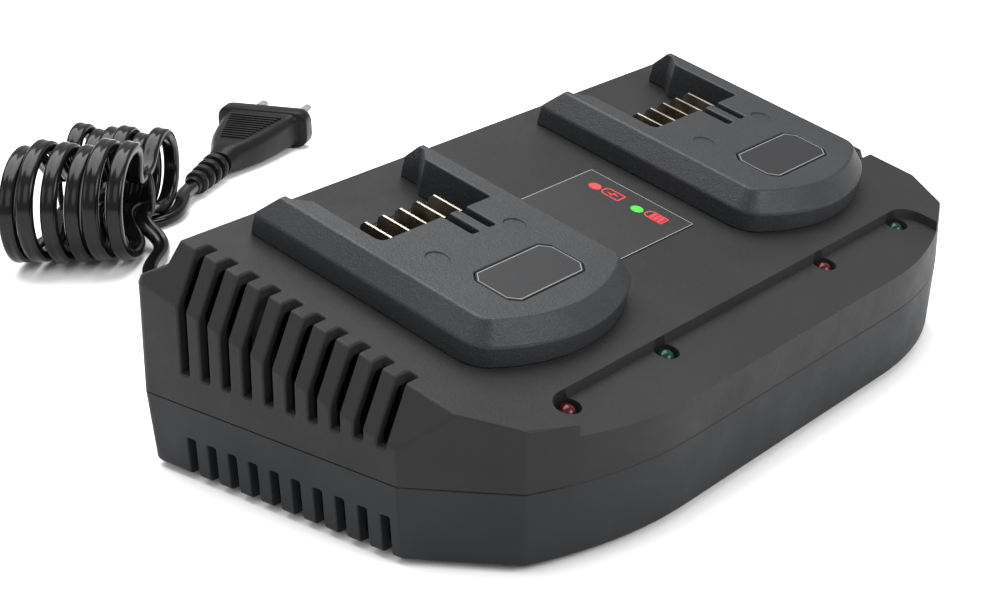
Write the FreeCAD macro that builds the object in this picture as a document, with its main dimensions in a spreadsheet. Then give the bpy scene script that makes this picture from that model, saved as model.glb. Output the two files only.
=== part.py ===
import FreeCAD, Part
import Sketcher
import math
import os
from types import SimpleNamespace

# Twin battery charger: a wedge-shaped housing with two battery docks, standing on four feet.
# Frame: +X to the right, +Y to the back, +Z up, origin on the surface below the housing's middle.

doc = FreeCAD.newDocument("TwinBatteryCharger")
sheet = doc.addObject("Spreadsheet::Sheet", "Dimensions")

# Driving dimensions in millimetres and degrees
DRIVING = {
    "length": 225.0,
    "depth": 122.0,
    "tilt": 13.7,
    "wall": 3.0,
    "seam_height": 20.7,
    "floor_height": 1.5,
    "floor_thickness": 2.6,
    "side_draft": 4.0,
    "roof_back_height": 60.9,
    "roof_back_inset": 10.2,
    "ridge_inset": 7.1,
    "shoulder_drop": 12.6,
    "ledge_height": 50.8,
    "ledge_inset": 8.6,
    "ledge_back_height": 54.8,
    "facet_side": 15.2,
    "facet_back": 37.2,
    "front_bow": 12.2,
    "front_flat": 97.0,
    "corner_radius": 3.5,
    "vent_count": 10,
    "vent_pitch": 7.05,
    "vent_width": 2.9,
    "vent_start": 15.4,
    "vent_bottom": 29.3,
    "vent_reach": 11.6,
    "foot_vent_top": 11.9,
    "shelf_drop": 2.7,
    "shelf_front_gap": 17.7,
    "shelf_half": 84.9,
    "shelf_corner": 6.5,
    "dock_spacing": 115.0,
    "dock_half": 31.0,
    "dock_height": 10.9,
    "dock_back": 7.0,
    "dock_side_end": 78.75,
    "dock_front_radius": 52.0,
    "dock_corner": 9.0,
    "dock_bevel_in": 4.2,
    "dock_bevel_down": 5.2,
    "notch_half": 20.9,
    "notch_end": 39.3,
    "notch_lead_half": 24.8,
    "notch_lead_end": 13.0,
    "dock_wall": 2.7,
    "guide_near": 3.1,
    "blade_count": 5,
    "blade_pitch": 6.4,
    "blade_thickness": 0.7,
    "guide_width": 2.9,
    "guide_end": 49.3,
    "badge_half": 14.8,
    "badge_start": 61.8,
    "badge_end": 76.3,
    "badge_cut": 2.6,
    "badge_depth": 0.8,
    "mark_offset": 14.9,
    "mark_position": 52.2,
    "mark_radius": 3.0,
    "pit_half": 19.6,
    "pit_start": 20.8,
    "pit_end": 50.0,
    "label_half": 17.9,
    "label_start": 33.6,
    "label_end": 68.7,
    "label_thickness": 0.3,
    "lamp_spacing": 39.9,
    "lamp_front_gap": 14.9,
    "lamp_radius": 2.5,
    "lamp_hole_radius": 3.3,
    "foot_radius": 6.0,
    "foot_height": 2.3,
    "foot_spacing_x": 160.0,
    "foot_spacing_y": 66.0,
    "cord_diameter": 4.4,
    "cord_exit_x": -52.0,
    "cord_exit_height": 13.0,
}


class Size:
    """A length or angle that carries its number and the expression it comes from."""

    def __init__(self, number, text):
        self.number = number
        self.text = text

    def join(self, other, sign, number, swap=False):
        other_text = other.text if isinstance(other, Size) else repr(float(other))
        first, second = (other_text, self.text) if swap else (self.text, other_text)
        return Size(number, f"({first} {sign} {second})")

    def __add__(self, other):
        return self.join(other, "+", self.number + number_of(other))

    def __radd__(self, other):
        return self.join(other, "+", self.number + number_of(other), True)

    def __sub__(self, other):
        return self.join(other, "-", self.number - number_of(other))

    def __rsub__(self, other):
        return self.join(other, "-", number_of(other) - self.number, True)

    def __mul__(self, other):
        return self.join(other, "*", self.number * number_of(other))

    def __rmul__(self, other):
        return self.join(other, "*", self.number * number_of(other), True)

    def __truediv__(self, other):
        return self.join(other, "/", self.number / number_of(other))

    def __rtruediv__(self, other):
        return self.join(other, "/", number_of(other) / self.number, True)

    def __neg__(self):
        return Size(-self.number, f"(0 - {self.text})")


def number_of(size):
    return size.number if isinstance(size, Size) else float(size)


def text_of(size):
    return size.text if isinstance(size, Size) else repr(float(size))


def trig(name, angle):
    number = getattr(math, name)(math.radians(angle.number))
    return Size(number, f"{name}({angle.text} * 1deg)")


dim = SimpleNamespace()
for row, (name, number) in enumerate(DRIVING.items(), start=1):
    sheet.set(f"A{row}", name)
    sheet.set(f"B{row}", str(number))
    sheet.setAlias(f"B{row}", name)
    setattr(dim, name, Size(float(number), f"Dimensions.{name}"))
doc.recompute()

# Sizes worked out from the driving ones
slope = trig("tan", dim.tilt)
cosine = trig("cos", dim.tilt)
sine = trig("sin", dim.tilt)
back = dim.depth / 2
side = dim.length / 2
roof_back = back - dim.roof_back_inset
roof_middle = dim.roof_back_height - roof_back * slope
ridge = side - dim.ridge_inset
facet_end = dim.facet_back - back
facet_front = dim.front_bow - back
roof_drop = dim.wall / cosine
shelf_y = dim.shelf_front_gap - back
lamp_y = dim.lamp_front_gap - back
SKY = 90.0
MARGIN = 20.0


def roof_height(y):
    """Height of the tilted top face above the surface, at a number y."""
    return dim.roof_back_height.number - (roof_back.number - y) * slope.number


def roof_point(x, along, rise=0.0):
    """A point given by its distance down the tilted top face and its rise from it."""
    tilt = math.radians(dim.tilt.number)
    return FreeCAD.Vector(
        x,
        roof_back.number - along * math.cos(tilt) - rise * math.sin(tilt),
        dim.roof_back_height.number - along * math.sin(tilt) + rise * math.cos(tilt),
    )


def roof_placement(x, along=0.0, rise=0.0):
    """Placement of a piece drawn flat, with +Y up the slope, that sits on the top face."""
    return FreeCAD.Placement(
        roof_point(x, along, rise), FreeCAD.Rotation(FreeCAD.Vector(1, 0, 0), dim.tilt.number)
    )


# Helpers for bodies, sketches and features


def origin_plane(body, role):
    return next(item for item in body.Origin.OriginFeatures if item.Role == role)


def new_body(name):
    body = doc.addObject("PartDesign::Body", name)
    body.Label = name
    return body


def new_sketch(body, plane, name, offset=None):
    """A sketch on one of the body's own planes, moved along the plane's normal by offset."""
    drawing = body.newObject("Sketcher::SketchObject", name)
    drawing.AttachmentSupport = (origin_plane(body, plane), [""])
    drawing.MapMode = "FlatFace"
    if offset is not None:
        drawing.setExpression("AttachmentOffset.Base.z", text_of(offset))
    return drawing


def pin_point(drawing, index, end, point):
    """Hold one end of an edge at a point by its two coordinates, each bound to the sheet."""
    for kind, coordinate in zip(("DistanceX", "DistanceY"), point):
        if abs(number_of(coordinate)) < 1e-9:
            axis = -2 if kind == "DistanceX" else -1
            drawing.addConstraint(sketch_constraint("PointOnObject", index, end, axis))
            continue
        number = drawing.addConstraint(
            sketch_constraint(kind, -1, 1, index, end, number_of(coordinate))
        )
        drawing.setExpression(f"Constraints[{number}]", text_of(coordinate))


def sketch_constraint(*values):
    return Sketcher.Constraint(*values)


def draw_outline(drawing, points):
    """A closed outline. A corner is (x, y), and (x, y, radius) ends an arc that bulges outwards."""
    first = drawing.GeometryCount
    count = len(points)
    for index in range(count):
        start = FreeCAD.Vector(number_of(points[index][0]), number_of(points[index][1]), 0)
        target = points[(index + 1) % count]
        end = FreeCAD.Vector(number_of(target[0]), number_of(target[1]), 0)
        if len(target) == 3:
            middle = arc_middle(start, end, number_of(target[2]))
            drawing.addGeometry(Part.ArcOfCircle(start, middle, end), False)
        else:
            drawing.addGeometry(Part.LineSegment(start, end), False)
    starts, ends = [], []
    for index in range(count):
        edge = drawing.Geometry[first + index]
        point = FreeCAD.Vector(number_of(points[index][0]), number_of(points[index][1]), 0)
        forward = (edge.StartPoint - point).Length < 1e-6
        starts.append(1 if forward else 2)
        ends.append(2 if forward else 1)
    for index in range(count):
        after = (index + 1) % count
        drawing.addConstraint(
            sketch_constraint("Coincident", first + index, ends[index], first + after, starts[after])
        )
    for index in range(count):
        pin_point(drawing, first + index, starts[index], points[index])
        target = points[(index + 1) % count]
        if len(target) == 3:
            radius = abs(number_of(target[2]))
            number = drawing.addConstraint(sketch_constraint("Radius", first + index, radius))
            drawing.setExpression(f"Constraints[{number}]", f"abs({text_of(target[2])})")


def arc_middle(start, end, radius):
    """Middle point of the shorter arc from start to end, on the right of that direction."""
    chord = end - start
    half = chord.Length / 2
    rise = abs(radius) - math.sqrt(radius * radius - half * half)
    outwards = FreeCAD.Vector(chord.y, -chord.x, 0).normalize()
    return start + chord * 0.5 + outwards * (rise if radius > 0 else -rise)


def draw_circle(drawing, x, y, radius):
    centre = FreeCAD.Vector(number_of(x), number_of(y), 0)
    index = drawing.addGeometry(
        Part.Circle(centre, FreeCAD.Vector(0, 0, 1), number_of(radius)), False
    )
    pin_point(drawing, index, 3, (x, y))
    number = drawing.addConstraint(sketch_constraint("Radius", index, number_of(radius)))
    drawing.setExpression(f"Constraints[{number}]", text_of(radius))


def draw_rectangle(drawing, low_x, high_x, low_y, high_y):
    draw_outline(drawing, [(low_x, low_y), (high_x, low_y), (high_x, high_y), (low_x, high_y)])


def pad(body, drawing, name, length, reverse=False, taper=None):
    feature = body.newObject("PartDesign::Pad", name)
    feature.Profile = drawing
    feature.setExpression("Length", text_of(length))
    feature.Reversed = reverse
    if taper is not None:
        feature.setExpression("TaperAngle", text_of(taper))
    doc.recompute()
    return feature


def pocket(body, drawing, name, length, reverse=False, both_ways=False, down_slope=False):
    """Cut a sketch's outline away. down_slope cuts parallel to the tilted top face."""
    feature = body.newObject("PartDesign::Pocket", name)
    feature.Profile = drawing
    before = body.Shape.Volume if body.Shape else 0.0
    feature.setExpression("Length", text_of(length))
    feature.Reversed = reverse
    feature.Midplane = both_ways
    if down_slope:
        feature.UseCustomVector = True
        feature.AlongSketchNormal = False
        feature.setExpression("Direction.x", "0")
        feature.setExpression("Direction.y", f"0 - {cosine.text}")
        feature.setExpression("Direction.z", f"0 - {sine.text}")
    doc.recompute()
    if feature.Shape.Volume > before - 1e-3:
        raise RuntimeError(f"{name} cuts nothing")
    return feature


def edges_where(feature, test):
    """Names of a feature's edges whose sample points all pass a test."""
    chosen = []
    for number, edge in enumerate(feature.Shape.Edges, start=1):
        first, last = edge.ParameterRange
        points = [edge.valueAt(first + (last - first) * part / 4) for part in range(5)]
        if all(test(point) for point in points):
            chosen.append(f"Edge{number}")
    return chosen


def fillet(body, base, name, radius, test):
    chosen = edges_where(base, test)
    feature = body.newObject("PartDesign::Fillet", name)
    feature.Base = (base, chosen)
    feature.setExpression("Radius", text_of(radius))
    doc.recompute()
    if not chosen or not feature.isValid():
        raise RuntimeError(f"{name}: {len(chosen)} edges")
    return feature


def chamfer(body, base, name, across, down, test, flip=False):
    chosen = edges_where(base, test)
    feature = body.newObject("PartDesign::Chamfer", name)
    feature.Base = (base, chosen)
    feature.ChamferType = "Two distances"
    feature.setExpression("Size", text_of(across))
    feature.setExpression("Size2", text_of(down))
    feature.FlipDirection = flip
    doc.recompute()
    if not chosen or not feature.isValid():
        raise RuntimeError(f"{name}: {len(chosen)} edges")
    return feature


def near(a, b, gap=0.02):
    return abs(a - number_of(b)) < gap


def box(name, corner, sizes):
    """A Part box from its lowest corner and its three sizes, each bound where it is a Size."""
    solid = doc.addObject("Part::Box", name)
    for prop, size in zip(("Length", "Width", "Height"), sizes):
        solid.setExpression(prop, text_of(size))
    bind_place(solid, corner)
    return solid


def cylinder(name, centre, radius, height):
    solid = doc.addObject("Part::Cylinder", name)
    solid.setExpression("Radius", text_of(radius))
    solid.setExpression("Height", text_of(height))
    bind_place(solid, centre)
    return solid


def bind_place(solid, place):
    """Put a solid at a place, with an expression for each coordinate that comes from the sheet."""
    solid.Placement.Base = FreeCAD.Vector(*[number_of(coordinate) for coordinate in place])
    for axis, coordinate in zip("xyz", place):
        if isinstance(coordinate, Size):
            solid.setExpression(f"Placement.Base.{axis}", coordinate.text)


def cut(name, base, tool):
    result = doc.addObject("Part::Cut", name)
    result.Base = base
    result.Tool = tool
    result.Label = name
    doc.recompute()
    return result


def fuse(name, solids):
    result = doc.addObject("Part::MultiFuse", name)
    result.Shapes = solids
    doc.recompute()
    return result


def group(name, shapes):
    """Several separate solids of one node."""
    item = doc.addObject("Part::Feature", name)
    item.Shape = Part.makeCompound(shapes)
    item.Label = name
    return item


nodes = {}


# Housing


def housing_outline(inset):
    """Plan of the housing, going clockwise from the back left, set in by inset all round."""
    x = side - inset
    y = back - inset
    facet_x = side - dim.facet_side - inset * 0.62
    facet_y = facet_front + inset * 0.83
    flat = dim.front_flat / 2
    rise = facet_y + y
    run = facet_x - flat
    radius = (run * run + rise * rise) / (rise * 2)
    return [
        (-x, y),
        (-x, facet_end + inset * 0.27),
        (-facet_x, facet_y),
        (-flat, -y, radius),
        (flat, -y),
        (facet_x, facet_y, radius),
        (x, facet_end + inset * 0.27),
        (x, y),
    ]


def roof_outline(drop):
    """Section across the housing at its middle: all that lies above the roof and shoulders."""
    top = roof_middle - drop
    knee = top - dim.shoulder_drop
    fall = dim.shoulder_drop / dim.ridge_inset
    outer = side + MARGIN
    low = knee - fall * MARGIN
    inner_ridge = ridge - drop * 0.45
    return [
        (-outer, low),
        (-inner_ridge, top),
        (inner_ridge, top),
        (outer, low),
        (outer, SKY),
        (-outer, SKY),
    ]


def back_outline(inset):
    """Section along the housing: the space behind the back's upper step."""
    y = back - inset
    ledge_y = back - dim.ledge_inset - inset
    top_y = roof_back - inset
    high = dim.roof_back_height + 15.0
    return [
        (y + MARGIN, dim.ledge_height - inset),
        (y + MARGIN, high),
        (top_y - 15.0 * slope * 0.95, high),
        (top_y, dim.roof_back_height - inset * 0.6),
        (ledge_y, dim.ledge_back_height - inset),
        (y, dim.ledge_height - inset),
    ]


def housing_top(name, inset):
    """The upper part of the housing above the seam, as a closed form set in by inset."""
    body = new_body(name)
    plan = new_sketch(body, "XY_Plane", f"{name}_plan", dim.seam_height)
    draw_outline(plan, housing_outline(inset))
    pad(body, plan, f"{name}_block", SKY - MARGIN - dim.seam_height)
    section = new_sketch(body, "XZ_Plane", f"{name}_roof_section")
    drop = inset / cosine
    draw_outline(section, roof_outline(drop))
    pocket(body, section, f"{name}_roof", 500, both_ways=True, down_slope=True)
    step = new_sketch(body, "YZ_Plane", f"{name}_back_section")
    draw_outline(step, back_outline(inset))
    pocket(body, step, f"{name}_back", 500, both_ways=True)
    shelf = new_sketch(body, "XZ_Plane", f"{name}_shelf_section", -(shelf_y + inset))
    shelf_top = roof_middle + (shelf_y + inset) * slope - drop - dim.shelf_drop
    half = dim.shelf_half + inset
    draw_rectangle(shelf, -half, half, shelf_top, shelf_top + MARGIN)
    pocket(body, shelf, f"{name}_shelf", 100, down_slope=True)
    return body


outer_top = housing_top("housing_top", 0)
inner_top = housing_top("housing_top_hollow", dim.wall)


def round_housing(body):
    """Round the outer edges of the upper housing."""
    tip = body.Tip
    tip = fillet(
        body, tip, "back_corner_rounds", dim.corner_radius,
        lambda p: near(abs(p.x), side) and near(p.y, back) and p.z < 52,
    )
    tip = fillet(
        body, tip, "shelf_corner_rounds", dim.shelf_corner,
        lambda p: near(abs(p.x), dim.shelf_half) and near(p.y, shelf_y),
    )
    return tip


round_housing(outer_top)


def vent_cutter(name, low, high):
    """Ten slots on each side, one behind the other."""
    body = new_body(name)
    drawing = new_sketch(body, "XZ_Plane", f"{name}_section", -(back - dim.vent_start))
    inner = side - dim.vent_reach
    outer = side + 5
    draw_rectangle(drawing, inner, outer, low, high)
    draw_rectangle(drawing, -outer, -inner, low, high)
    slot = pad(body, drawing, f"{name}_slot", dim.vent_width)
    pattern = body.newObject("PartDesign::LinearPattern", f"{name}_row")
    pattern.Originals = [slot]
    pattern.Direction = (origin_plane(body, "XZ_Plane"), [""])
    pattern.setExpression("Length", f"{dim.vent_pitch.text} * ({dim.vent_count.text} - 1)")
    pattern.setExpression("Occurrences", dim.vent_count.text)
    body.Tip = pattern
    doc.recompute()
    return body


upper_vents = vent_cutter("upper_vents", dim.vent_bottom, SKY)
lower_vents = vent_cutter("lower_vents", dim.floor_height - 5, dim.foot_vent_top)


def roof_openings():
    """Tools for the pits under the docks, the lamp holes and the cord's way out."""
    tools = []
    width = dim.pit_half.number * 2
    length = dim.pit_end.number - dim.pit_start.number
    for label, x in (("left", -1), ("right", 1)):
        centre = x * dim.dock_spacing.number / 2
        pit = box(f"{label}_pit", (0, 0, 0), (width, length, 12))
        pit.Placement = roof_placement(centre - width / 2, dim.pit_end.number, -8)
        tools.append(pit)
        for lamp_side in (-1, 1):
            lamp_x = centre + lamp_side * dim.lamp_spacing.number / 2
            hole = doc.addObject("Part::Cylinder", f"lamp_hole_{label}_{lamp_side + 1}")
            hole.setExpression("Radius", dim.lamp_hole_radius.text)
            hole.Height = 20
            hole.Placement = roof_placement(lamp_x, lamp_distance(), -12)
            tools.append(hole)
    return tools


def lamp_distance():
    """Distance of the lamps down the slope from the roof's back edge."""
    return (roof_back.number - lamp_y.number) / cosine.number


POSTS = [(-92, 36), (92, 36), (-92, -22), (92, -22)]
POST_RADIUS = 4.0
LAMP_BOARD_DROP = 11.0
PILOT_RADIUS = 1.3
SCREW_RADIUS = 1.5


def top_posts():
    """Posts that hang from the roof and take the housing screws."""
    posts = []
    for number, (x, y) in enumerate(POSTS, start=1):
        height = roof_height(y) - 2.4 - dim.seam_height.number
        posts.append(cylinder(f"post_{number}", (x, y, dim.seam_height), POST_RADIUS, height))
    for number, x in enumerate((-57.5, -20, 20, 57.5), start=1):
        post = doc.addObject("Part::Cylinder", f"lamp_board_post_{number}")
        post.Radius = 2.5
        post.Height = LAMP_BOARD_DROP - dim.shelf_drop.number - dim.wall.number / 2
        post.Placement = roof_placement(x, lamp_distance(), -LAMP_BOARD_DROP)
        posts.append(post)
    return posts


def pilot_holes():
    holes = []
    for number, (x, y) in enumerate(POSTS, start=1):
        holes.append(cylinder(f"pilot_{number}", (x, y, dim.seam_height - 1), PILOT_RADIUS, 13))
    return holes


DOCK_SCREWS = [(-24.5, 22), (24.5, 22), (-22, 72), (22, 72)]


def dock_screw_holes(name, radius, low, high):
    """Holes square to the roof where the docks' screws pass, for both docks."""
    holes = []
    for dock_side in (-1, 1):
        for number, (across, along) in enumerate(DOCK_SCREWS, start=1):
            hole = doc.addObject("Part::Cylinder", f"{name}_screw_{dock_side + 1}_{number}")
            hole.Radius = radius
            hole.Height = high - low
            centre = dock_side * dim.dock_spacing.number / 2
            hole.Placement = roof_placement(centre + across, along, low)
            holes.append(hole)
    return holes


def make_top_shell():
    hollow_shell = cut("top_wall", outer_top, inner_top)
    with_posts = fuse("top_with_posts", [hollow_shell] + top_posts())
    tools = [upper_vents] + roof_openings() + dock_screw_holes("roof", SCREW_RADIUS, -6, 8)
    tools += pilot_holes()
    return cut("top_shell", with_posts, fuse("top_openings", tools))


top_shell = make_top_shell()
nodes["top_shell"] = top_shell


BASE_ROUND = 1.4


def housing_base():
    """The lower half of the housing: a drafted tray with vents, bosses and foot recesses."""
    body = new_body("housing_base")
    plan = new_sketch(body, "XY_Plane", "base_plan", dim.seam_height)
    draw_outline(plan, housing_outline(0))
    height = dim.seam_height - dim.floor_height
    tip = pad(body, plan, "base_block", height, reverse=True, taper=-dim.side_draft)
    tip = fillet(
        body, tip, "base_back_rounds", dim.corner_radius,
        lambda p: abs(p.x) > side.number - 4 and p.y > back.number - 4
        and abs(abs(p.x) - side.number - p.y + back.number) < 0.1,
    )
    fillet(body, tip, "base_edge_round", BASE_ROUND, lambda p: near(p.z, dim.floor_height))
    inside = new_sketch(body, "XY_Plane", "base_inside", dim.seam_height)
    draw_outline(inside, housing_outline(dim.wall + 0.9))
    pocket(body, inside, "base_hollow", height - dim.floor_thickness)
    return body


BOSS_RADIUS = 4.6
HEAD_RADIUS = 3.0
HEAD_HEIGHT = 2.0
HEAD_SEAT = 9.0
BOARD_HEIGHT = 10.0
BOARD_PEGS = [(-70, 40), (70, 40), (-70, -24), (70, -24)]


def make_bottom_shell():
    base = housing_base()
    floor_top = dim.floor_height + dim.floor_thickness
    parts = [base]
    tools = [lower_vents]
    for number, (x, y) in enumerate(POSTS, start=1):
        parts.append(cylinder(
            f"boss_{number}", (x, y, dim.floor_height), BOSS_RADIUS,
            dim.seam_height - dim.floor_height,
        ))
        tools.append(cylinder(f"screw_way_{number}", (x, y, -1), SCREW_RADIUS + 0.2, 30))
        tools.append(cylinder(f"head_way_{number}", (x, y, -1), HEAD_RADIUS + 0.3, HEAD_SEAT + 1))
    for number, (x, y) in enumerate(BOARD_PEGS, start=1):
        parts.append(cylinder(
            f"peg_{number}", (x, y, floor_top - 0.5), 3.0, BOARD_HEIGHT - floor_top + 0.5
        ))
    for number, (x, y) in enumerate(foot_places(), start=1):
        tools.append(cylinder(
            f"foot_seat_{number}", (x, y, dim.floor_height - 1), dim.foot_radius + 0.1,
            dim.foot_height - dim.floor_height + 1,
        ))
    gland_way = cylinder("gland_way", (0, 0, 0), GLAND_NECK, 12)
    gland_way.Placement = FreeCAD.Placement(
        FreeCAD.Vector(dim.cord_exit_x.number, back.number - 8, dim.cord_exit_height.number),
        FreeCAD.Rotation(FreeCAD.Vector(1, 0, 0), -90),
    )
    tools.append(gland_way)
    return cut("bottom_shell", fuse("base_with_bosses", parts), fuse("base_openings", tools))


def foot_places():
    half_x = dim.foot_spacing_x.number / 2
    half_y = dim.foot_spacing_y.number / 2
    return [(x, y) for x in (-half_x, half_x) for y in (-half_y, half_y)]


GLAND_NECK = 4.6
nodes["bottom_shell"] = make_bottom_shell()


# Docks

DOCK_SIDES = (("left", -1), ("right", 1))


def dock_centre(dock_side):
    return dock_side * dim.dock_spacing.number / 2


def make_dock(label, dock_side):
    """One battery dock, drawn flat with its back towards +Y, then laid on the roof."""
    body = new_body(f"{label}_dock_body")
    plan = new_sketch(body, "XY_Plane", f"{label}_dock_plan")
    half = dim.dock_half
    draw_outline(plan, [
        (-half, -dim.dock_back),
        (-half, -dim.dock_side_end),
        (half, -dim.dock_side_end, dim.dock_front_radius),
        (half, -dim.dock_back),
    ])
    tip = pad(body, plan, f"{label}_dock_block", dim.dock_height)
    tip = fillet(
        body, tip, f"{label}_dock_corners", dim.dock_corner,
        lambda p: near(abs(p.x), half) and near(p.y, -dim.dock_side_end),
    )
    tip = chamfer(
        body, tip, f"{label}_dock_bevel", dim.dock_bevel_in, dim.dock_bevel_down,
        lambda p: near(p.z, dim.dock_height), flip=True,
    )
    notch = new_sketch(body, "XY_Plane", f"{label}_notch_plan", dim.dock_height)
    lead = dim.notch_lead_end + dim.notch_lead_half - dim.notch_half
    draw_outline(notch, [
        (-dim.notch_lead_half, 1),
        (-dim.notch_lead_half, -dim.notch_lead_end),
        (-dim.notch_half, -lead),
        (-dim.notch_half, -dim.notch_end),
        (dim.notch_half, -dim.notch_end),
        (dim.notch_half, -lead),
        (dim.notch_lead_half, -dim.notch_lead_end),
        (dim.notch_lead_half, 1),
    ])
    tip = pocket(body, notch, f"{label}_notch", dim.dock_height + 5)
    fillet(
        body, tip, f"{label}_notch_corner", NOTCH_ROUND,
        lambda p: near(p.x, -dim.notch_half) and near(p.y, -dim.notch_end),
    )
    hollow = new_sketch(body, "XY_Plane", f"{label}_dock_hollow_plan")
    inner = half - dim.dock_wall * 1.4
    start = dim.notch_end + dim.dock_wall
    draw_rectangle(hollow, -inner, inner, -HOLLOW_END, -start)
    roof = dim.dock_height - dim.dock_wall
    pocket(body, hollow, f"{label}_dock_hollow", roof, reverse=True)
    window = new_sketch(body, "XZ_Plane", f"{label}_window_plan", dim.notch_end - 1)
    draw_rectangle(window, -dim.pit_half, dim.pit_half, -1, BLADE_ROOT + 0.2)
    pocket(body, window, f"{label}_window", dim.dock_wall + 2, reverse=True)
    guides = new_sketch(body, "XY_Plane", f"{label}_guide_plan", dim.dock_height)
    for step in (0, 1):
        middle = dim.guide_near + step * dim.blade_pitch
        width = dim.guide_width / 2
        draw_rectangle(guides, middle - width, middle + width, -dim.guide_end, 1 - dim.notch_end)
    pocket(body, guides, f"{label}_guides", dim.dock_height - BLADE_ROOT)
    badge = new_sketch(body, "XY_Plane", f"{label}_badge_seat_plan", dim.dock_height)
    draw_outline(badge, badge_outline(0.25))
    pocket(body, badge, f"{label}_badge_seat", dim.badge_depth)
    marks = new_sketch(body, "XY_Plane", f"{label}_mark_plan", dim.dock_height)
    for mark_side in (-1, 1):
        draw_circle(marks, mark_side * dim.mark_offset, -dim.mark_position, dim.mark_radius)
    pocket(body, marks, f"{label}_marks", MARK_DEPTH)
    body.Placement = roof_placement(dock_centre(dock_side))
    doc.recompute()
    return body


def badge_outline(growth):
    """The badge plate's outline with its four corners cut, grown by growth all round."""
    x = dim.badge_half + growth
    near_y = -(dim.badge_start - growth)
    far_y = -(dim.badge_end + growth)
    bevel = dim.badge_cut
    return [
        (-x, near_y - bevel), (-x, far_y + bevel), (-x + bevel, far_y), (x - bevel, far_y),
        (x, far_y + bevel), (x, near_y - bevel), (x - bevel, near_y), (-x + bevel, near_y),
    ]


NOTCH_ROUND = 2.0
HOLLOW_END = 66.0
MARK_DEPTH = 0.35
BLADE_ROOT = 3.4
BLADE_TOP = 10.0
BLADE_TIP = 28.9
BLADE_BEVEL = 1.1


def make_blades(label, dock_side):
    """Five upright contact blades that stand in the dock's notch."""
    body = new_body(f"{label}_contact_blades")
    first = dim.guide_near - dim.blade_pitch * 3 - dim.blade_thickness / 2
    profile = new_sketch(body, "YZ_Plane", f"{label}_blade_profile", first)
    end = dim.notch_end
    draw_outline(profile, [
        (-end, BLADE_TOP),
        (-(BLADE_TIP + BLADE_BEVEL), BLADE_TOP),
        (-BLADE_TIP, BLADE_TOP - BLADE_BEVEL),
        (-BLADE_TIP, BLADE_ROOT + 1.2),
        (-(BLADE_TIP + 6), 0.8),
        (-(end + 3), 0.8),
        (-(end + 3), -5),
        (-(end + 6), -5),
        (-(end + 6), BLADE_ROOT - 0.6),
        (-end, BLADE_ROOT - 0.6),
    ])
    blade = pad(body, profile, f"{label}_blade", dim.blade_thickness)
    pattern = body.newObject("PartDesign::LinearPattern", f"{label}_blade_row")
    pattern.Originals = [blade]
    pattern.Direction = (origin_plane(body, "YZ_Plane"), [""])
    pattern.setExpression("Length", f"{dim.blade_pitch.text} * ({dim.blade_count.text} - 1)")
    pattern.setExpression("Occurrences", dim.blade_count.text)
    body.Tip = pattern
    body.Placement = roof_placement(dock_centre(dock_side))
    doc.recompute()
    return body


TRAY_DEPTH = 9.0
TRAY_WALL = 1.3
TRAY_GAP = 0.3
TRAY_LIP = 1.3
BLOCK_TOP = 2.8


def make_terminal_block(label, dock_side, blades):
    """The insulating tray below a dock's blades, with the raised block that holds them."""
    body = new_body(f"{label}_tray")
    half = dim.pit_half - TRAY_GAP
    start = dim.pit_start + TRAY_GAP
    end = dim.pit_end - TRAY_GAP
    plan = new_sketch(body, "XY_Plane", f"{label}_tray_plan")
    draw_rectangle(plan, -half, half, -end, -start)
    pad(body, plan, f"{label}_tray_block", TRAY_DEPTH, reverse=True)
    flange = new_sketch(body, "XY_Plane", f"{label}_flange_plan", -dim.wall)
    lip = TRAY_LIP + TRAY_GAP
    draw_rectangle(flange, -half - lip, half + lip, -end - lip, -start + lip)
    pad(body, flange, f"{label}_flange", TRAY_WALL, reverse=True)
    inside = new_sketch(body, "XY_Plane", f"{label}_tray_inside")
    draw_rectangle(
        inside, TRAY_WALL - half, half - TRAY_WALL, -(end - TRAY_WALL), -(start + TRAY_WALL)
    )
    pocket(body, inside, f"{label}_tray_hollow", TRAY_DEPTH - TRAY_WALL)
    block = new_sketch(body, "XY_Plane", f"{label}_block_plan", -TRAY_DEPTH + TRAY_WALL / 2)
    draw_rectangle(block, -half + 1, half - 1, -end, -(dim.notch_end + 1.6))
    pad(body, block, f"{label}_block", TRAY_DEPTH - TRAY_WALL / 2 + BLOCK_TOP)
    body.Placement = roof_placement(dock_centre(dock_side))
    return cut(f"{label}_terminal_block", body, blades)


def plate(name, outline, x, rise, thickness):
    body = new_body(name)
    drawing = new_sketch(body, "XY_Plane", f"{name}_plan")
    draw_outline(drawing, outline)
    pad(body, drawing, f"{name}_sheet", thickness)
    body.Placement = roof_placement(x, 0.0, rise)
    doc.recompute()
    return body


for label, dock_side in DOCK_SIDES:
    dock = make_dock(label, dock_side)
    pilots = [
        hole for hole in dock_screw_holes(f"{label}_dock_pilot", 1.3, -1, 6.5)
        if (hole.Placement.Base.x > 0) == (dock_side > 0)
    ]
    nodes[f"{label}_dock"] = cut(f"{label}_dock", dock, fuse(f"{label}_dock_pilots", pilots))
    blades = make_blades(label, dock_side)
    nodes[f"{label}_contact_blades"] = blades
    nodes[f"{label}_terminal_block"] = make_terminal_block(label, dock_side, blades)
    nodes[f"{label}_dock_badge"] = plate(
        f"{label}_dock_badge", badge_outline(0.0), dock_centre(dock_side),
        dim.dock_height.number - dim.badge_depth.number, dim.badge_depth - 0.1,
    )

label_outline = [
    (-dim.label_half, -dim.label_end), (dim.label_half, -dim.label_end),
    (dim.label_half, -dim.label_start), (-dim.label_half, -dim.label_start),
]
nodes["status_label"] = plate("status_label", label_outline, 0.0, 0.0, dim.label_thickness)


# Lamps and their board

LAMP_TOP = 2.4
LAMP_FLANGE = 0.4
BOARD_THICKNESS = 1.6


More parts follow.
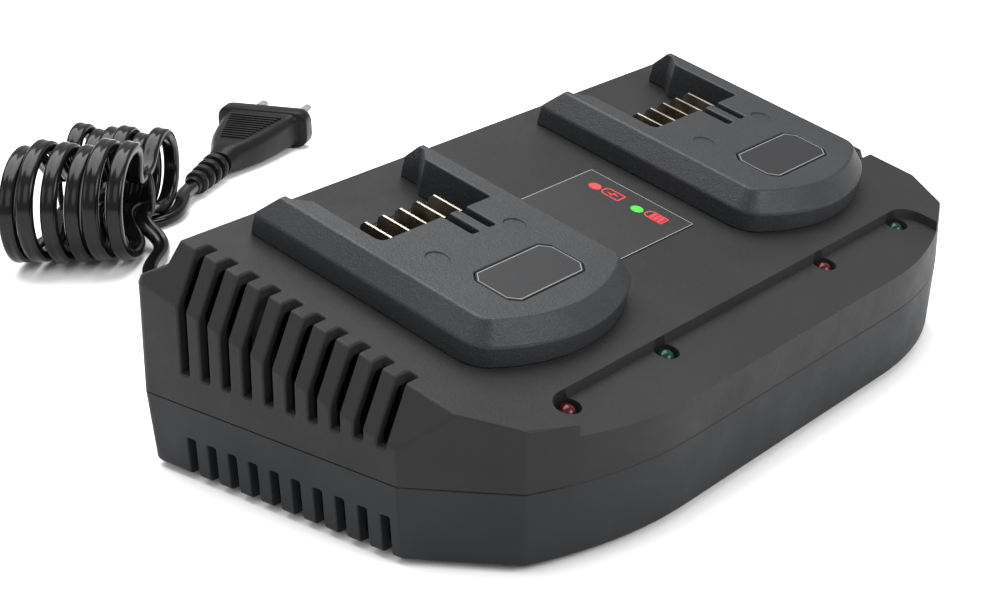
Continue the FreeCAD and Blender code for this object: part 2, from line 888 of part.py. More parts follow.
def revolve(body, drawing, name, axis):
    feature = body.newObject("PartDesign::Revolution", name)
    feature.Profile = drawing
    feature.ReferenceAxis = (drawing, [axis])
    feature.Angle = 360
    doc.recompute()
    return feature


def lamp(name, x):
    body = new_body(name)
    profile = new_sketch(body, "XZ_Plane", f"{name}_profile")
    radius = dim.lamp_radius
    dome = -LAMP_TOP - radius
    low = -LAMP_BOARD_DROP
    draw_outline(profile, [
        (0, -LAMP_TOP, radius),
        (0, low),
        (radius + LAMP_FLANGE, low),
        (radius + LAMP_FLANGE, low + 1),
        (radius, low + 1),
        (radius, dome),
    ])
    revolve(body, profile, f"{name}_turned", "V_Axis")
    body.Placement = roof_placement(x, lamp_distance())
    doc.recompute()
    return body


for label, dock_side in DOCK_SIDES:
    for colour, lamp_side in (("red", -1), ("green", 1)):
        lamp_x = dock_centre(dock_side) + lamp_side * dim.lamp_spacing.number / 2
        nodes[f"{label}_{colour}_lamp"] = lamp(f"{label}_{colour}_lamp", lamp_x)

lamp_board = doc.addObject("Part::Box", "lamp_board")
lamp_board.Label = "lamp_board"
lamp_board.Length = 168
lamp_board.Width = 9
lamp_board.Height = BOARD_THICKNESS
lamp_board.Placement = roof_placement(
    -84, lamp_distance() + 4.5, -LAMP_BOARD_DROP - BOARD_THICKNESS
)
nodes["lamp_board"] = lamp_board


# Electronics on the main board

BOARD_TOP = BOARD_HEIGHT + BOARD_THICKNESS


def labelled(item, name):
    item.Label = name
    nodes[name] = item
    return item


main_board = box("main_board_blank", (-84, -32, BOARD_HEIGHT), (168, 78, BOARD_THICKNESS))
labelled(main_board, "main_board")

core_block = box("core_block", (-20, 4, BOARD_TOP), (40, 16, 24))
core_windows = fuse("core_windows", [
    box("core_window_left", (-14, 3, BOARD_TOP + 6), (8, 18, 12)),
    box("core_window_right", (6, 3, BOARD_TOP + 6), (8, 18, 12)),
])
labelled(cut("transformer_core", core_block, core_windows), "transformer_core")
winding_block = box("winding_block", (-13.5, -2, BOARD_TOP + 6), (27, 28, 12))
winding_hole = box("winding_hole", (-6, 4, BOARD_TOP + 5), (12, 16, 14))
labelled(cut("transformer_winding", winding_block, winding_hole), "transformer_winding")
labelled(
    fuse("mains_capacitors", [
        cylinder("mains_capacitor_back", (50, 22, BOARD_TOP), 8, 24),
        cylinder("mains_capacitor_front", (50, 2, BOARD_TOP), 8, 22),
    ]),
    "mains_capacitors",
)


def make_heat_sinks():
    """Two upright aluminium plates with fins."""
    plates = []
    for number, x in enumerate((-34, 68), start=1):
        plates.append(box(f"sink_plate_{number}", (x, -26, BOARD_TOP), (3, 40, 16)))
        for fin in range(5):
            plates.append(box(
                f"sink_fin_{number}_{fin}", (x + 2.5, -26 + fin * 9.6, BOARD_TOP), (8, 1.6, 16)
            ))
    return fuse("heat_sinks", plates)


labelled(make_heat_sinks(), "heat_sinks")
fuse_tube = cylinder("fuse", (0, 0, 0), 2.6, 20)
fuse_tube.Placement = FreeCAD.Placement(
    FreeCAD.Vector(-44, 34, BOARD_TOP + 2.6), FreeCAD.Rotation(FreeCAD.Vector(0, 1, 0), 90)
)
labelled(fuse_tube, "fuse")
choke = doc.addObject("Part::Torus", "inlet_choke")
choke.Radius1 = 7
choke.Radius2 = 3
choke.Placement.Base = FreeCAD.Vector(8, 34, BOARD_TOP + 3)
labelled(choke, "inlet_choke")
inlet_x = dim.cord_exit_x.number
labelled(box("inlet_terminal", (inlet_x - 7, 37, BOARD_TOP), (14, 8, 7)), "inlet_terminal")


def make_battery_leads():
    """Two wires below each tray, cut to the slope of the tray's floor."""
    wires = []
    caps = []
    for label, dock_side in DOCK_SIDES:
        for number, across in enumerate((-9, 9), start=1):
            x = dock_centre(dock_side) + across
            wires.append(cylinder(f"{label}_lead_{number}", (x, 14, BOARD_TOP), 1.2, 50))
    cap = doc.addObject("Part::Box", "above_trays")
    cap.Length = 240
    cap.Width = 80
    cap.Height = 60
    cap.Placement = roof_placement(-120, 70, -TRAY_DEPTH)
    return cut("battery_leads", fuse("battery_wires", wires), cap)


labelled(make_battery_leads(), "battery_leads")


# Feet and fasteners

labelled(
    fuse("rubber_feet", [
        cylinder(f"foot_{number}", (x, y, 0), dim.foot_radius, dim.foot_height)
        for number, (x, y) in enumerate(foot_places(), start=1)
    ]),
    "rubber_feet",
)


def screw(name, length):
    """A pan-head screw standing on its head: the head below, the shank above."""
    return fuse(name, [
        cylinder(f"{name}_head", (0, 0, 0), HEAD_RADIUS, HEAD_HEIGHT),
        cylinder(f"{name}_shank", (0, 0, HEAD_HEIGHT), 1.25, length),
    ])


def screw_group(name, length, places):
    """Copies of one screw, each turned and placed, as one node."""
    pattern = screw(f"{name}_one", length).Shape
    copies = []
    for placement in places:
        copy = pattern.copy()
        copy.Placement = placement
        copies.append(copy)
    return group(name, copies)


nodes["housing_screws"] = screw_group("housing_screws", 20, [
    FreeCAD.Placement(FreeCAD.Vector(x, y, HEAD_SEAT - HEAD_HEIGHT), FreeCAD.Rotation())
    for x, y in POSTS
])
nodes["dock_screws"] = screw_group("dock_screws", 8, [
    roof_placement(dock_centre(dock_side) + across, along, -dim.wall.number - HEAD_HEIGHT)
    for label, dock_side in DOCK_SIDES
    for across, along in DOCK_SCREWS
])


# Mains cord: gland, lead, hank with its tie, tail and plug

GLAND_LENGTH = 26.0
GLAND_RIBS = 5


def make_gland():
    """The tapered ribbed sleeve that guards the cord where it leaves the back wall."""
    body = new_body("cord_gland")
    profile = new_sketch(body, "YZ_Plane", "gland_profile")
    inside = -(dim.wall.number + 1.1)
    points = [(inside - 4, 0), (inside - 4, 6.0), (inside, 6.0), (inside, GLAND_NECK - 0.1)]
    points.append((0.1, GLAND_NECK - 0.1))
    points.append((0.1, 6.2))
    points.append((3.0, 6.2))
    rib = (GLAND_LENGTH - 3.0) / (GLAND_RIBS * 2)
    for number in range(GLAND_RIBS):
        low = 3.0 + number * 2 * rib
        radius = 5.4 - number * 0.42
        points += [(low, radius - 0.9), (low + rib, radius - 0.9)]
        points += [(low + rib, radius), (low + 2 * rib, radius)]
    points.append((GLAND_LENGTH, 0))
    points.reverse()
    draw_outline(profile, points)
    revolve(body, profile, "gland_turned", "H_Axis")
    body.Placement.Base = FreeCAD.Vector(
        dim.cord_exit_x.number, back.number, dim.cord_exit_height.number
    )
    doc.recompute()
    return body


nodes["cord_gland"] = make_gland()

CORD_RADIUS = dim.cord_diameter.number / 2


def tangent_wire(points):
    """Straight runs joined by the largest even arcs, with the radius of each arc."""
    edges = []
    radii = []
    at = points[0]
    for before, corner, after in zip(points, points[1:], points[2:]):
        inward = (corner - before).normalize()
        onward = (after - corner).normalize()
        shorter = min((corner - before).Length, (after - corner).Length)
        half_turn = inward.getAngle(onward) / 2
        setback = 0.45 * shorter
        radii.append(setback / math.tan(half_turn))
        start = corner - inward * setback
        end = corner + onward * setback
        centre_way = (onward - inward).normalize()
        middle = corner + centre_way * (radii[-1] / math.cos(half_turn) - radii[-1])
        edges.append(Part.LineSegment(at, start).toShape())
        edges.append(Part.Arc(start, middle, end).toShape())
        at = end
    edges.append(Part.LineSegment(at, points[-1]).toShape())
    return edges, radii


def s_bend(start, end, way):
    """Two equal arcs from start to end, both along way at their outer ends."""
    step = end - start
    ahead = step.dot(way)
    aside = step - way * ahead
    if aside.Length < 1e-6:
        return [Part.LineSegment(start, end).toShape()]
    middle = start + step * 0.5
    radius = step.Length ** 2 / (4 * aside.Length)
    turn = 2 * math.atan2(aside.Length, ahead)
    out = aside.normalize()
    quarter = radius * math.sin(turn / 2), radius * (1 - math.cos(turn / 2))
    first = start + way * quarter[0] + out * quarter[1]
    second = end - way * quarter[0] - out * quarter[1]
    return [Part.Arc(start, first, middle).toShape(), Part.Arc(middle, second, end).toShape()]


def tube(name, edges, radius=CORD_RADIUS):
    """A round tube along the edges, with its volume checked against its length."""
    path = Part.Wire(edges)
    start = edges[0].valueAt(edges[0].FirstParameter)
    way = edges[0].tangentAt(edges[0].FirstParameter)
    ring = Part.Wire([Part.makeCircle(radius, start, way)])
    shape = path.makePipeShell([ring], True, False)
    expected = math.pi * radius ** 2 * path.Length
    print(f"{name}: length {path.Length:.1f} mm, volume ratio {shape.Volume / expected:.4f}")
    if not shape.isValid() or abs(shape.Volume / expected - 1) > 0.02:
        raise RuntimeError(f"{name} is not a sound tube")
    return shape


# The hank: its waist's middle, its heading, and each loop's two ends
HANK_MIDDLE = FreeCAD.Vector(-7.0, 194.0, 0.0)
HANK_HEADING = 30.0
HANK_LOOPS = 6
WAIST_PITCH = 5.1
WAIST_LOW = 9.0
WAIST_HIGH = 21.0
FAN_PITCH = 6.4
FAN_REACH = 25.0
FAN_SKEW = 1.5
FAN_HEIGHT = 37.0
TAIL_PITCH = 5.1
TAIL_REACH = 17.0
TAIL_HEIGHT = 29.0
LEAD_IN = (-20.0, -24.0)
FLOOR_GAP = 0.15
CORD_FLOOR = CORD_RADIUS + FLOOR_GAP


def hank_point(along, across, height):
    heading = math.radians(HANK_HEADING)
    return HANK_MIDDLE + FreeCAD.Vector(
        along * math.cos(heading) - across * math.sin(heading),
        along * math.sin(heading) + across * math.cos(heading),
        height,
    )


def hank_way(sign):
    heading = math.radians(HANK_HEADING)
    return FreeCAD.Vector(sign * math.cos(heading), sign * math.sin(heading), 0)


def fold(low, high, along_sign):
    """The half circle at a loop's end, from low to high or the other way."""
    middle = (low + high) * 0.5
    radius = (high - low).Length / 2
    return Part.Arc(low, middle + hank_way(along_sign) * radius, high).toShape()


def hank_edges():
    """One unbroken run: in beside the fan, round the far end, back over the top and round the fan."""
    edges = []
    centre = (HANK_LOOPS - 1) / 2
    at = hank_point(*LEAD_IN, CORD_FLOOR)
    for loop in range(HANK_LOOPS):
        place = loop - centre
        sway = math.sin(loop * 2.1)
        tail_along = TAIL_REACH + 2 * math.cos(loop * 1.7)
        tail_low = hank_point(tail_along, place * TAIL_PITCH, CORD_FLOOR + 2 + 1.2 * sway)
        tail_high = hank_point(tail_along, place * TAIL_PITCH, TAIL_HEIGHT - 1.5 * sway)
        waist_low = hank_point(0, place * WAIST_PITCH, WAIST_LOW)
        waist_high = hank_point(0, place * WAIST_PITCH, WAIST_HIGH)
        fan_along = -(FAN_REACH + FAN_SKEW * place + 1.5 * sway)
        fan_high = hank_point(fan_along, place * FAN_PITCH, FAN_HEIGHT + 1.5 * sway)
        fan_low = hank_point(fan_along, place * FAN_PITCH, CORD_FLOOR + 0.9 + 0.8 * sway)
        edges += s_bend(at, waist_low, hank_way(1))
        edges += s_bend(waist_low, tail_low, hank_way(1))
        edges.append(fold(tail_low, tail_high, 1))
        edges += s_bend(tail_high, waist_high, hank_way(-1))
        edges += s_bend(waist_high, fan_high, hank_way(-1))
        edges.append(fold(fan_high, fan_low, -1))
        at = fan_low
    return edges


def least_gap(edges, diameter, spacing=2.0):
    """Least gap of a tube to itself, between points further apart along it than a fold."""
    path = Part.Wire(edges)
    points = path.discretize(Distance=spacing)
    apart = int(6 * diameter / spacing)
    least = 1e9
    for index, point in enumerate(points):
        for other in points[index + apart:]:
            gap = (point - other).Length - diameter
            least = min(least, gap)
    return least


hank_run = hank_edges()
hank_gap = least_gap(hank_run, 2 * CORD_RADIUS)
print(f"hank: least gap to itself {hank_gap:.2f} mm")
if hank_gap < 0.4:
    raise RuntimeError("the hank touches itself")
hank_tube = tube("cord_hank", hank_run)
nodes["cord_hank"] = group("cord_hank", hank_tube.Solids)
hank_end = hank_run[-1].valueAt(hank_run[-1].LastParameter)

# The plug: its boot's end, its heading and how far its nose is tipped up by the flange it rests on
BOOT_END = FreeCAD.Vector(34.5, 198.0, 4.7)
PLUG_HEADING = 22.0
PLUG_PITCH = 2.3
plug_turn = FreeCAD.Rotation(FreeCAD.Vector(0, 0, 1), PLUG_HEADING)
plug_tip = FreeCAD.Rotation(FreeCAD.Vector(0, 1, 0), -PLUG_PITCH)
plug_placement = FreeCAD.Placement(BOOT_END, plug_turn.multiply(plug_tip))
plug_way = plug_placement.Rotation.multVec(FreeCAD.Vector(1, 0, 0))

gland_tip = FreeCAD.Vector(
    dim.cord_exit_x.number, back.number + GLAND_LENGTH, dim.cord_exit_height.number
)
lead_end = hank_point(*LEAD_IN, CORD_FLOOR)
lead_points = [
    gland_tip,
    gland_tip + FreeCAD.Vector(0, 14, 0),
    FreeCAD.Vector(-48, 118, 4.2),
    FreeCAD.Vector(-39, 133, CORD_FLOOR),
    FreeCAD.Vector(-30, 148, CORD_FLOOR),
    lead_end - hank_way(1) * 12,
    lead_end,
]
tail_points = [
    hank_end,
    hank_end + hank_way(1) * 17,
    hank_point(-1, 6, CORD_FLOOR),
    hank_point(3, -8, CORD_FLOOR),
    hank_point(13, -18, CORD_FLOOR),
    hank_point(24, -18.2, CORD_FLOOR + 1),
    BOOT_END - plug_way * 8,
    BOOT_END,
]
for name, points in (("cord_lead", lead_points), ("cord_tail", tail_points)):
    edges, radii = tangent_wire(points)
    print(f"{name}: least bend radius {min(radii):.1f} mm")
    nodes[name] = group(name, tube(name, edges).Solids)


def make_tie():
    """A flat band round the hank's waist, with rounded corners."""
    body = new_body("cord_tie")
    across = (HANK_LOOPS - 1) / 2 * WAIST_PITCH + CORD_RADIUS
    for name, growth, keep in (("tie_band", TIE_THICKNESS, True), ("tie_hollow", 0.05, False)):
        outline = new_sketch(body, "YZ_Plane", name + "_outline", -TIE_WIDTH / 2)
        half = across + growth
        low = WAIST_LOW - CORD_RADIUS - growth
        high = WAIST_HIGH + CORD_RADIUS + growth
        bend = TIE_BEND + growth
        draw_outline(outline, rounded(half, low, high, bend))
        if keep:
            pad(body, outline, name, TIE_WIDTH)
        else:
            pocket(body, outline, name, TIE_WIDTH + 2, both_ways=True)
    body.Placement = FreeCAD.Placement(
        HANK_MIDDLE, FreeCAD.Rotation(FreeCAD.Vector(0, 0, 1), HANK_HEADING)
    )
    doc.recompute()
    return body


def rounded(half, low, high, bend):
    """A rectangle with rounded corners, counter-clockwise from the lower left."""
    return [
        (bend - half, low, bend),
        (half - bend, low),
        (half, low + bend, bend),
        (half, high - bend),
        (half - bend, high, bend),
        (bend - half, high),
        (-half, high - bend, bend),
        (-half, low + bend),
    ]


TIE_WIDTH = 4.0
TIE_THICKNESS = 0.9
TIE_BEND = 2.0
nodes["cord_tie"] = make_tie()

# Plug sizes, measured along its axis from the boot's end
BOOT_LENGTH = 25.0
BOOT_RINGS = 5
FLANGE_START = 62.0
PLUG_FACE = 68.0
PIN_SPREAD = 9.3
PIN_LENGTH = 19.0
PIN_LEAN = 1.66
SLEEVE_LENGTH = 10.0
PIN_RADIUS = 2.0
PIN_CORE = 1.4
SLEEVE_RADIUS = 1.85


def make_pins():
    pins = []
    for pin_side in (-1, 1):
        root = doc.addObject("Part::Cylinder", f"pin_root_{pin_side + 1}")
        root.Radius = PIN_CORE
        root.Height = 8 + SLEEVE_LENGTH + 1
        contact = doc.addObject("Part::Cylinder", f"pin_contact_{pin_side + 1}")
        contact.Radius = PIN_RADIUS
        contact.Height = PIN_LENGTH - SLEEVE_LENGTH - PIN_RADIUS
        tip = doc.addObject("Part::Sphere", f"pin_tip_{pin_side + 1}")
        tip.Radius = PIN_RADIUS
        root.Placement = pin_placement(pin_side, -8)
        contact.Placement = pin_placement(pin_side, SLEEVE_LENGTH)
        tip.Placement = pin_placement(pin_side, PIN_LENGTH - PIN_RADIUS)
        pins.append(fuse(f"pin_{pin_side + 1}", [root, contact, tip]))
    return group("plug_pins", [pin.Shape for pin in pins])


def pin_placement(pin_side, along):
    """Along a pin from the plug's face; the two pins lean a little towards each other."""
    at_face = FreeCAD.Vector(PLUG_FACE, pin_side * PIN_SPREAD, 0)
    local = FreeCAD.Placement(
        at_face, FreeCAD.Rotation(FreeCAD.Vector(0, 0, 1), -pin_side * PIN_LEAN)
    )
    way = FreeCAD.Placement(
        FreeCAD.Vector(along, 0, 0), FreeCAD.Rotation(FreeCAD.Vector(0, 1, 0), 90)
    )
    return plug_placement.multiply(local).multiply(way)


def make_sleeves():
    sleeves = []
    for pin_side in (-1, 1):
        outer = doc.addObject("Part::Cylinder", f"sleeve_{pin_side + 1}")
        outer.Radius = SLEEVE_RADIUS
        outer.Height = SLEEVE_LENGTH
        outer.Placement = pin_placement(pin_side, 0)
        inner = doc.addObject("Part::Cylinder", f"sleeve_bore_{pin_side + 1}")
        inner.Radius = PIN_CORE
        inner.Height = SLEEVE_LENGTH + 4
        inner.Placement = pin_placement(pin_side, -2)
        sleeves.append(cut(f"sleeve_tube_{pin_side + 1}", outer, inner))
    return group("plug_sleeves", [sleeve.Shape for sleeve in sleeves])


def plug_section(body, name, along, half_width, half_height, bevel):
    drawing = new_sketch(body, "YZ_Plane", name, along)
    draw_outline(drawing, [
        (-half_width, bevel - half_height), (bevel - half_width, -half_height),
        (half_width - bevel, -half_height), (half_width, bevel - half_height),
        (half_width, half_height - bevel), (half_width - bevel, half_height),
        (bevel - half_width, half_height), (-half_width, half_height - bevel),
    ])
    return drawing


def make_plug_body():
    body = new_body("plug_moulding")
    neck = plug_section(body, "plug_neck", BOOT_LENGTH, 5.4, 4.3, 1.8)
    wide = plug_section(body, "plug_wide", FLANGE_START, 17.65, 6.85, 4.6)
    loft = body.newObject("PartDesign::AdditiveLoft", "plug_taper")
    loft.Profile = neck
    loft.Sections = [wide]
    doc.recompute()
    flange = plug_section(body, "plug_flange_outline", FLANGE_START, 17.65, 6.85, 4.6)
    pad(body, flange, "plug_flange", PLUG_FACE - FLANGE_START)
    boot = new_sketch(body, "XZ_Plane", "boot_profile")
    step = BOOT_LENGTH / (BOOT_RINGS * 2 + 1)
    points = [(0, 0), (BOOT_LENGTH + 1, 0), (BOOT_LENGTH + 1, 3.6)]
    for ring in range(BOOT_RINGS, 0, -1):
        far = (ring * 2 + 1) * step
        radius = 3.2 + 0.2 * ring
        points += [(far, radius - 0.8), (far - step, radius - 0.8)]
        points += [(far - step, radius), (far - 2 * step, radius)]
    points += [(step, 2.6), (0, 2.6)]
    draw_outline(boot, points)
    revolve(body, boot, "boot_turned", "H_Axis")
    body.Placement = plug_placement
    doc.recompute()
    return body


pins = make_pins()
nodes["plug_pins"] = pins
nodes["plug_sleeves"] = make_sleeves()
nodes["plug_body"] = cut("plug_body", make_plug_body(), pins)
inner_cord = doc.addObject("Part::Cylinder", "inner_cord")
inner_cord.Radius = CORD_RADIUS
inner_cord.Height = back.number - dim.wall.number - 5.1 - 45.0
inner_cord.Placement = FreeCAD.Placement(
    FreeCAD.Vector(inlet_x, 45, dim.cord_exit_height.number),
    FreeCAD.Rotation(FreeCAD.Vector(1, 0, 0), -90),
)
labelled(inner_cord, "inner_cord")


# Checks and export

doc.recompute()
for item in doc.Objects:
    if "Invalid" in item.State or "Error" in item.State:
        raise RuntimeError(f"{item.Name} is {item.State}")
os.makedirs("parts", exist_ok=True)
for name, item in nodes.items():
    shape = item.Shape
    if shape.isNull() or not shape.isValid():
        raise RuntimeError(f"{name} has no valid shape")
    box_of = shape.BoundBox
    print(
        f"{name}: {len(shape.Solids)} solids, {shape.Volume:.0f} mm3,"
        f" x {box_of.XMin:.1f} {box_of.XMax:.1f} y {box_of.YMin:.1f} {box_of.YMax:.1f}"
        f" z {box_of.ZMin:.2f} {box_of.ZMax:.2f}"
    )
    shape.exportStep(os.path.join("parts", f"{name}.step"))
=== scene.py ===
import bmesh
import bpy
import math
from mathutils import Matrix, Vector


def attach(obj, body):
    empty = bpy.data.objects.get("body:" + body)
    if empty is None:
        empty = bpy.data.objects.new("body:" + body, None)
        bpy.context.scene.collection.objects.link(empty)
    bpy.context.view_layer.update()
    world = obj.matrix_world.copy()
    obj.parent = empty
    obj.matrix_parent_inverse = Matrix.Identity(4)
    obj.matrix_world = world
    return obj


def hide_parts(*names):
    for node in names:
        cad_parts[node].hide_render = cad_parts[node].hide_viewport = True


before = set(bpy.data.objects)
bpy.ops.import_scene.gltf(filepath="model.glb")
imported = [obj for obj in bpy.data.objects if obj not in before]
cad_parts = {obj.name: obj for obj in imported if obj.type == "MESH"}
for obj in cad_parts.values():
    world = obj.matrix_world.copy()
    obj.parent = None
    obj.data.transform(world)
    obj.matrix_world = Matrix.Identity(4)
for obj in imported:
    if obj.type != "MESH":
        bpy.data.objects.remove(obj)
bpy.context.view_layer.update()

MM = 0.001


# Camera

CAMERA_PLACE = Vector((-421.2, -298.8, 235.5)) * MM
CAMERA_YAW = math.radians(38.77)
CAMERA_PITCH = math.radians(22.48)
LENS = 75.6


def add_camera():
    data = bpy.data.cameras.new("camera")
    data.lens = LENS
    data.sensor_width = 36.0
    data.sensor_fit = "HORIZONTAL"
    data.clip_start = 0.01
    camera = bpy.data.objects.new("camera", data)
    level = math.cos(CAMERA_PITCH)
    way = Vector((
        math.cos(CAMERA_YAW) * level, math.sin(CAMERA_YAW) * level, -math.sin(CAMERA_PITCH)
    ))
    camera.rotation_euler = way.to_track_quat("-Z", "Y").to_euler()
    camera.location = CAMERA_PLACE
    bpy.context.collection.objects.link(camera)
    bpy.context.scene.camera = camera


add_camera()


# Finishes: shader maths written as expressions

# Where most of a noise's values lie
NOISE_LOW = 0.3
NOISE_HIGH = 0.7

# The sockets of a Mix node that blend colours: its others are for numbers and vectors
MIX_FACTOR = 0
MIX_FIRST = 6
MIX_SECOND = 7
MIX_RESULT = 2


class Signal:
    """A socket of a finish. Arithmetic on it adds Math nodes."""

    def __init__(self, finish, socket):
        self.finish = finish
        self.socket = socket

    def math(self, operation, other):
        return self.finish.node("ShaderNodeMath", {"operation": operation}, {0: self, 1: other})

    def __add__(self, other):
        return self.math("ADD", other)

    __radd__ = __add__

    def __mul__(self, other):
        return self.math("MULTIPLY", other)

    __rmul__ = __mul__


class Finish:
    """A material round one Principled shader."""

    def __init__(self, name, **values):
        self.material = bpy.data.materials.new(name)
        self.material.use_nodes = True
        self.nodes = self.material.node_tree.nodes
        self.links = self.material.node_tree.links
        self.nodes.clear()
        self.shader = self.nodes.new("ShaderNodeBsdfPrincipled")
        output = self.nodes.new("ShaderNodeOutputMaterial")
        self.links.new(self.shader.outputs[0], output.inputs[0])
        self.feed(self.shader, values)

    def feed(self, node, values):
        for key, value in values.items():
            name = key.replace("_", " ") if isinstance(key, str) else key
            if isinstance(value, Signal):
                self.links.new(value.socket, node.inputs[name])
            elif isinstance(value, tuple) and len(value) == 3 and node.inputs[name].type == "RGBA":
                node.inputs[name].default_value = (*value, 1.0)
            else:
                node.inputs[name].default_value = value

    def set(self, **values):
        self.feed(self.shader, values)
        return self

    def node(self, kind, settings=None, values=None, output=0):
        node = self.nodes.new(kind)
        for key, value in (settings or {}).items():
            setattr(node, key, value)
        self.feed(node, values or {})
        return Signal(self, node.outputs[output])

    def place(self):
        return self.node("ShaderNodeTexCoord", output="Object")

    def noise(self, scale, detail=3.0, roughness=0.55):
        return self.node(
            "ShaderNodeTexNoise", None,
            {"Vector": self.place(), "Scale": scale, "Detail": detail, "Roughness": roughness},
        )

    def spread(self, signal, low, high, new_low, new_high):
        """The signal's range from low to high stretched to a new range, and held inside it."""
        return self.node("ShaderNodeMapRange", {"clamp": True}, {
            "Value": signal, "From Min": low, "From Max": high,
            "To Min": new_low, "To Max": new_high,
        })

    def vary(self, noise, low, high):
        """A noise's usual values stretched from low to high."""
        return self.spread(noise, NOISE_LOW, NOISE_HIGH, low, high)

    def mix(self, factor, first, second):
        return self.node(
            "ShaderNodeMix", {"data_type": "RGBA"},
            {MIX_FACTOR: factor, MIX_FIRST: first, MIX_SECOND: second}, MIX_RESULT,
        )

    def bump(self, height, depth):
        return self.node(
            "ShaderNodeBump", None, {"Height": height, "Strength": 1.0, "Distance": depth}
        )


# Noise scales, in waves over a metre: a moulding's mottling and its scuffs
MOTTLING = 28.0
SCUFFS = 95.0

# A moulding's coarse texture and its pale specks, as shares of its grain's scale
COARSE_SHARE = 0.42
SPECK_SHARE = 1.1


def moulded(name, dark, light, rough, grain, depth, shine=0.25, speck=0.0):
    """Moulded plastic with a fine spark-eroded texture, faint mottling and soft scuffs."""
    finish = Finish(name, Specular_IOR_Level=shine)
    fine = finish.noise(grain, 2.0)
    coarse = finish.noise(grain * COARSE_SHARE, 2.0)
    cloud = finish.noise(MOTTLING, 4.0)
    colour = finish.mix(finish.spread(cloud, 0.35, NOISE_HIGH, 0.0, 1.0), dark, light)
    if speck:
        pale = tuple(channel * 2.6 + 0.02 for channel in light)
        specks = finish.spread(finish.noise(grain * SPECK_SHARE, 1.0), 0.58, 0.72, 0.0, speck)
        colour = finish.mix(specks, colour, pale)
    scuffs = finish.noise(SCUFFS, 5.0, 0.7)
    roughness = finish.vary(scuffs, rough - 0.06, rough + 0.07)
    texture = fine * 0.6 + coarse * 0.4
    finish.set(
        Base_Color=colour, Roughness=roughness, Normal=finish.bump(texture, depth * MM),
    )
    return finish.material


SHELL = moulded(
    "shell_plastic", (0.0150, 0.0152, 0.0156), (0.0190, 0.0193, 0.0198),
    rough=0.50, grain=2600, depth=0.12, shine=0.12,
)
SHELL_LOW = moulded(
    "base_plastic", (0.0175, 0.0184, 0.0205), (0.0215, 0.0226, 0.0250),
    rough=0.53, grain=2600, depth=0.05, shine=0.1,
)
DOCK = moulded(
    "dock_plastic", (0.0150, 0.0158, 0.0182), (0.0195, 0.0205, 0.0232),
    rough=0.44, grain=1900, depth=0.16, shine=0.24, speck=0.22,
)
TRAY = moulded(
    "tray_plastic", (0.008, 0.008, 0.009), (0.012, 0.012, 0.013),
    rough=0.5, grain=2600, depth=0.03,
)
PLUG = moulded(
    "plug_plastic", (0.005, 0.005, 0.0056), (0.008, 0.008, 0.0088),
    rough=0.34, grain=2200, depth=0.03, shine=0.12,
)
GLAND = moulded(
    "gland_rubber", (0.008, 0.008, 0.009), (0.011, 0.011, 0.012),
    rough=0.5, grain=2200, depth=0.04, shine=0.15,
)
FOOT = moulded(
    "foot_rubber", (0.018, 0.018, 0.018), (0.025, 0.025, 0.025),
    rough=0.75, grain=1800, depth=0.06,
)


def cord_sheath():
    """Smooth satin sheath with faint drawing marks and handling haze."""
    finish = Finish("cord_sheath", Specular_IOR_Level=0.22)
    haze = finish.noise(160.0, 4.0)
    finish.set(
        Base_Color=finish.mix(haze, (0.003, 0.003, 0.0034), (0.005, 0.005, 0.0055)),
        Roughness=finish.vary(haze, 0.13, 0.21),
        Normal=finish.bump(finish.noise(420.0, 2.0), 0.02 * MM),
    )
    return finish.material


def contact_metal():
    """Stamped contact blades: warm tarnish on the faces, and a painted highlight on the edges, a paler
    colour wherever a surface turns away from the sides.
    """
    finish = Finish("contact_metal", Metallic=1.0)
    normal = finish.node("ShaderNodeNewGeometry", output="True Normal")
    parts = finish.node("ShaderNodeSeparateXYZ", None, {"Vector": normal})
    sideways = parts.math("ABSOLUTE", 0.0)
    face = finish.spread(sideways, 0.6, 0.9, 0.0, 1.0)
    stain = finish.noise(180.0, 3.0)
    bronze = finish.mix(stain, (0.34, 0.27, 0.18), (0.50, 0.43, 0.32))
    finish.set(
        # painted highlight: every surface that does not face sideways, the blades' edges, gets the paler
        # colour; the broad faces keep the tarnish
        Base_Color=finish.mix(face, (0.66, 0.62, 0.54), bronze),
        Roughness=finish.vary(stain, 0.2, 0.38),
        Normal=finish.bump(finish.noise(1600.0, 2.0), 0.01 * MM),
    )
    return finish.material


def plated(name, colour, rough=0.2):
    finish = Finish(name, Metallic=1.0)
    grain = finish.noise(900.0, 3.0)
    lighter = tuple(min(1.0, channel * 1.12) for channel in colour)
    finish.set(
        Base_Color=finish.mix(grain, colour, lighter),
        Roughness=finish.vary(grain, rough - 0.05, rough + 0.1),
        Normal=finish.bump(grain, 0.008 * MM),
    )
    return finish.material


# Height above the surface below which a lens gets painted shade, nearly black, and the depth in which the
# painted shade fades in
LENS_FOOT = 31.5 * MM
LENS_FADE = 1.0 * MM


def lens(name, colour, glow):
    """A tinted lamp lens, dull when it isn't lit, its foot inside the housing painted nearly black as
    shade.
    """
    finish = Finish(name, Specular_IOR_Level=0.22)
    cloud = finish.noise(500.0, 2.0)
    height = finish.node("ShaderNodeSeparateXYZ", None, {"Vector": finish.place()}, "Z")
    clear_of_painted_shade = finish.spread(height, LENS_FOOT - LENS_FADE, LENS_FOOT, 0.0, 1.0)
    finish.set(
        # painted shade: below LENS_FOOT the lens turns nearly black, standing in for the shade inside the
        # housing
        Base_Color=finish.mix(clear_of_painted_shade, (0.001, 0.001, 0.001), finish.mix(cloud, colour, glow)),
        Roughness=finish.vary(cloud, 0.07, 0.12),
        Normal=finish.bump(cloud, 0.004 * MM),
    )
    return finish.material


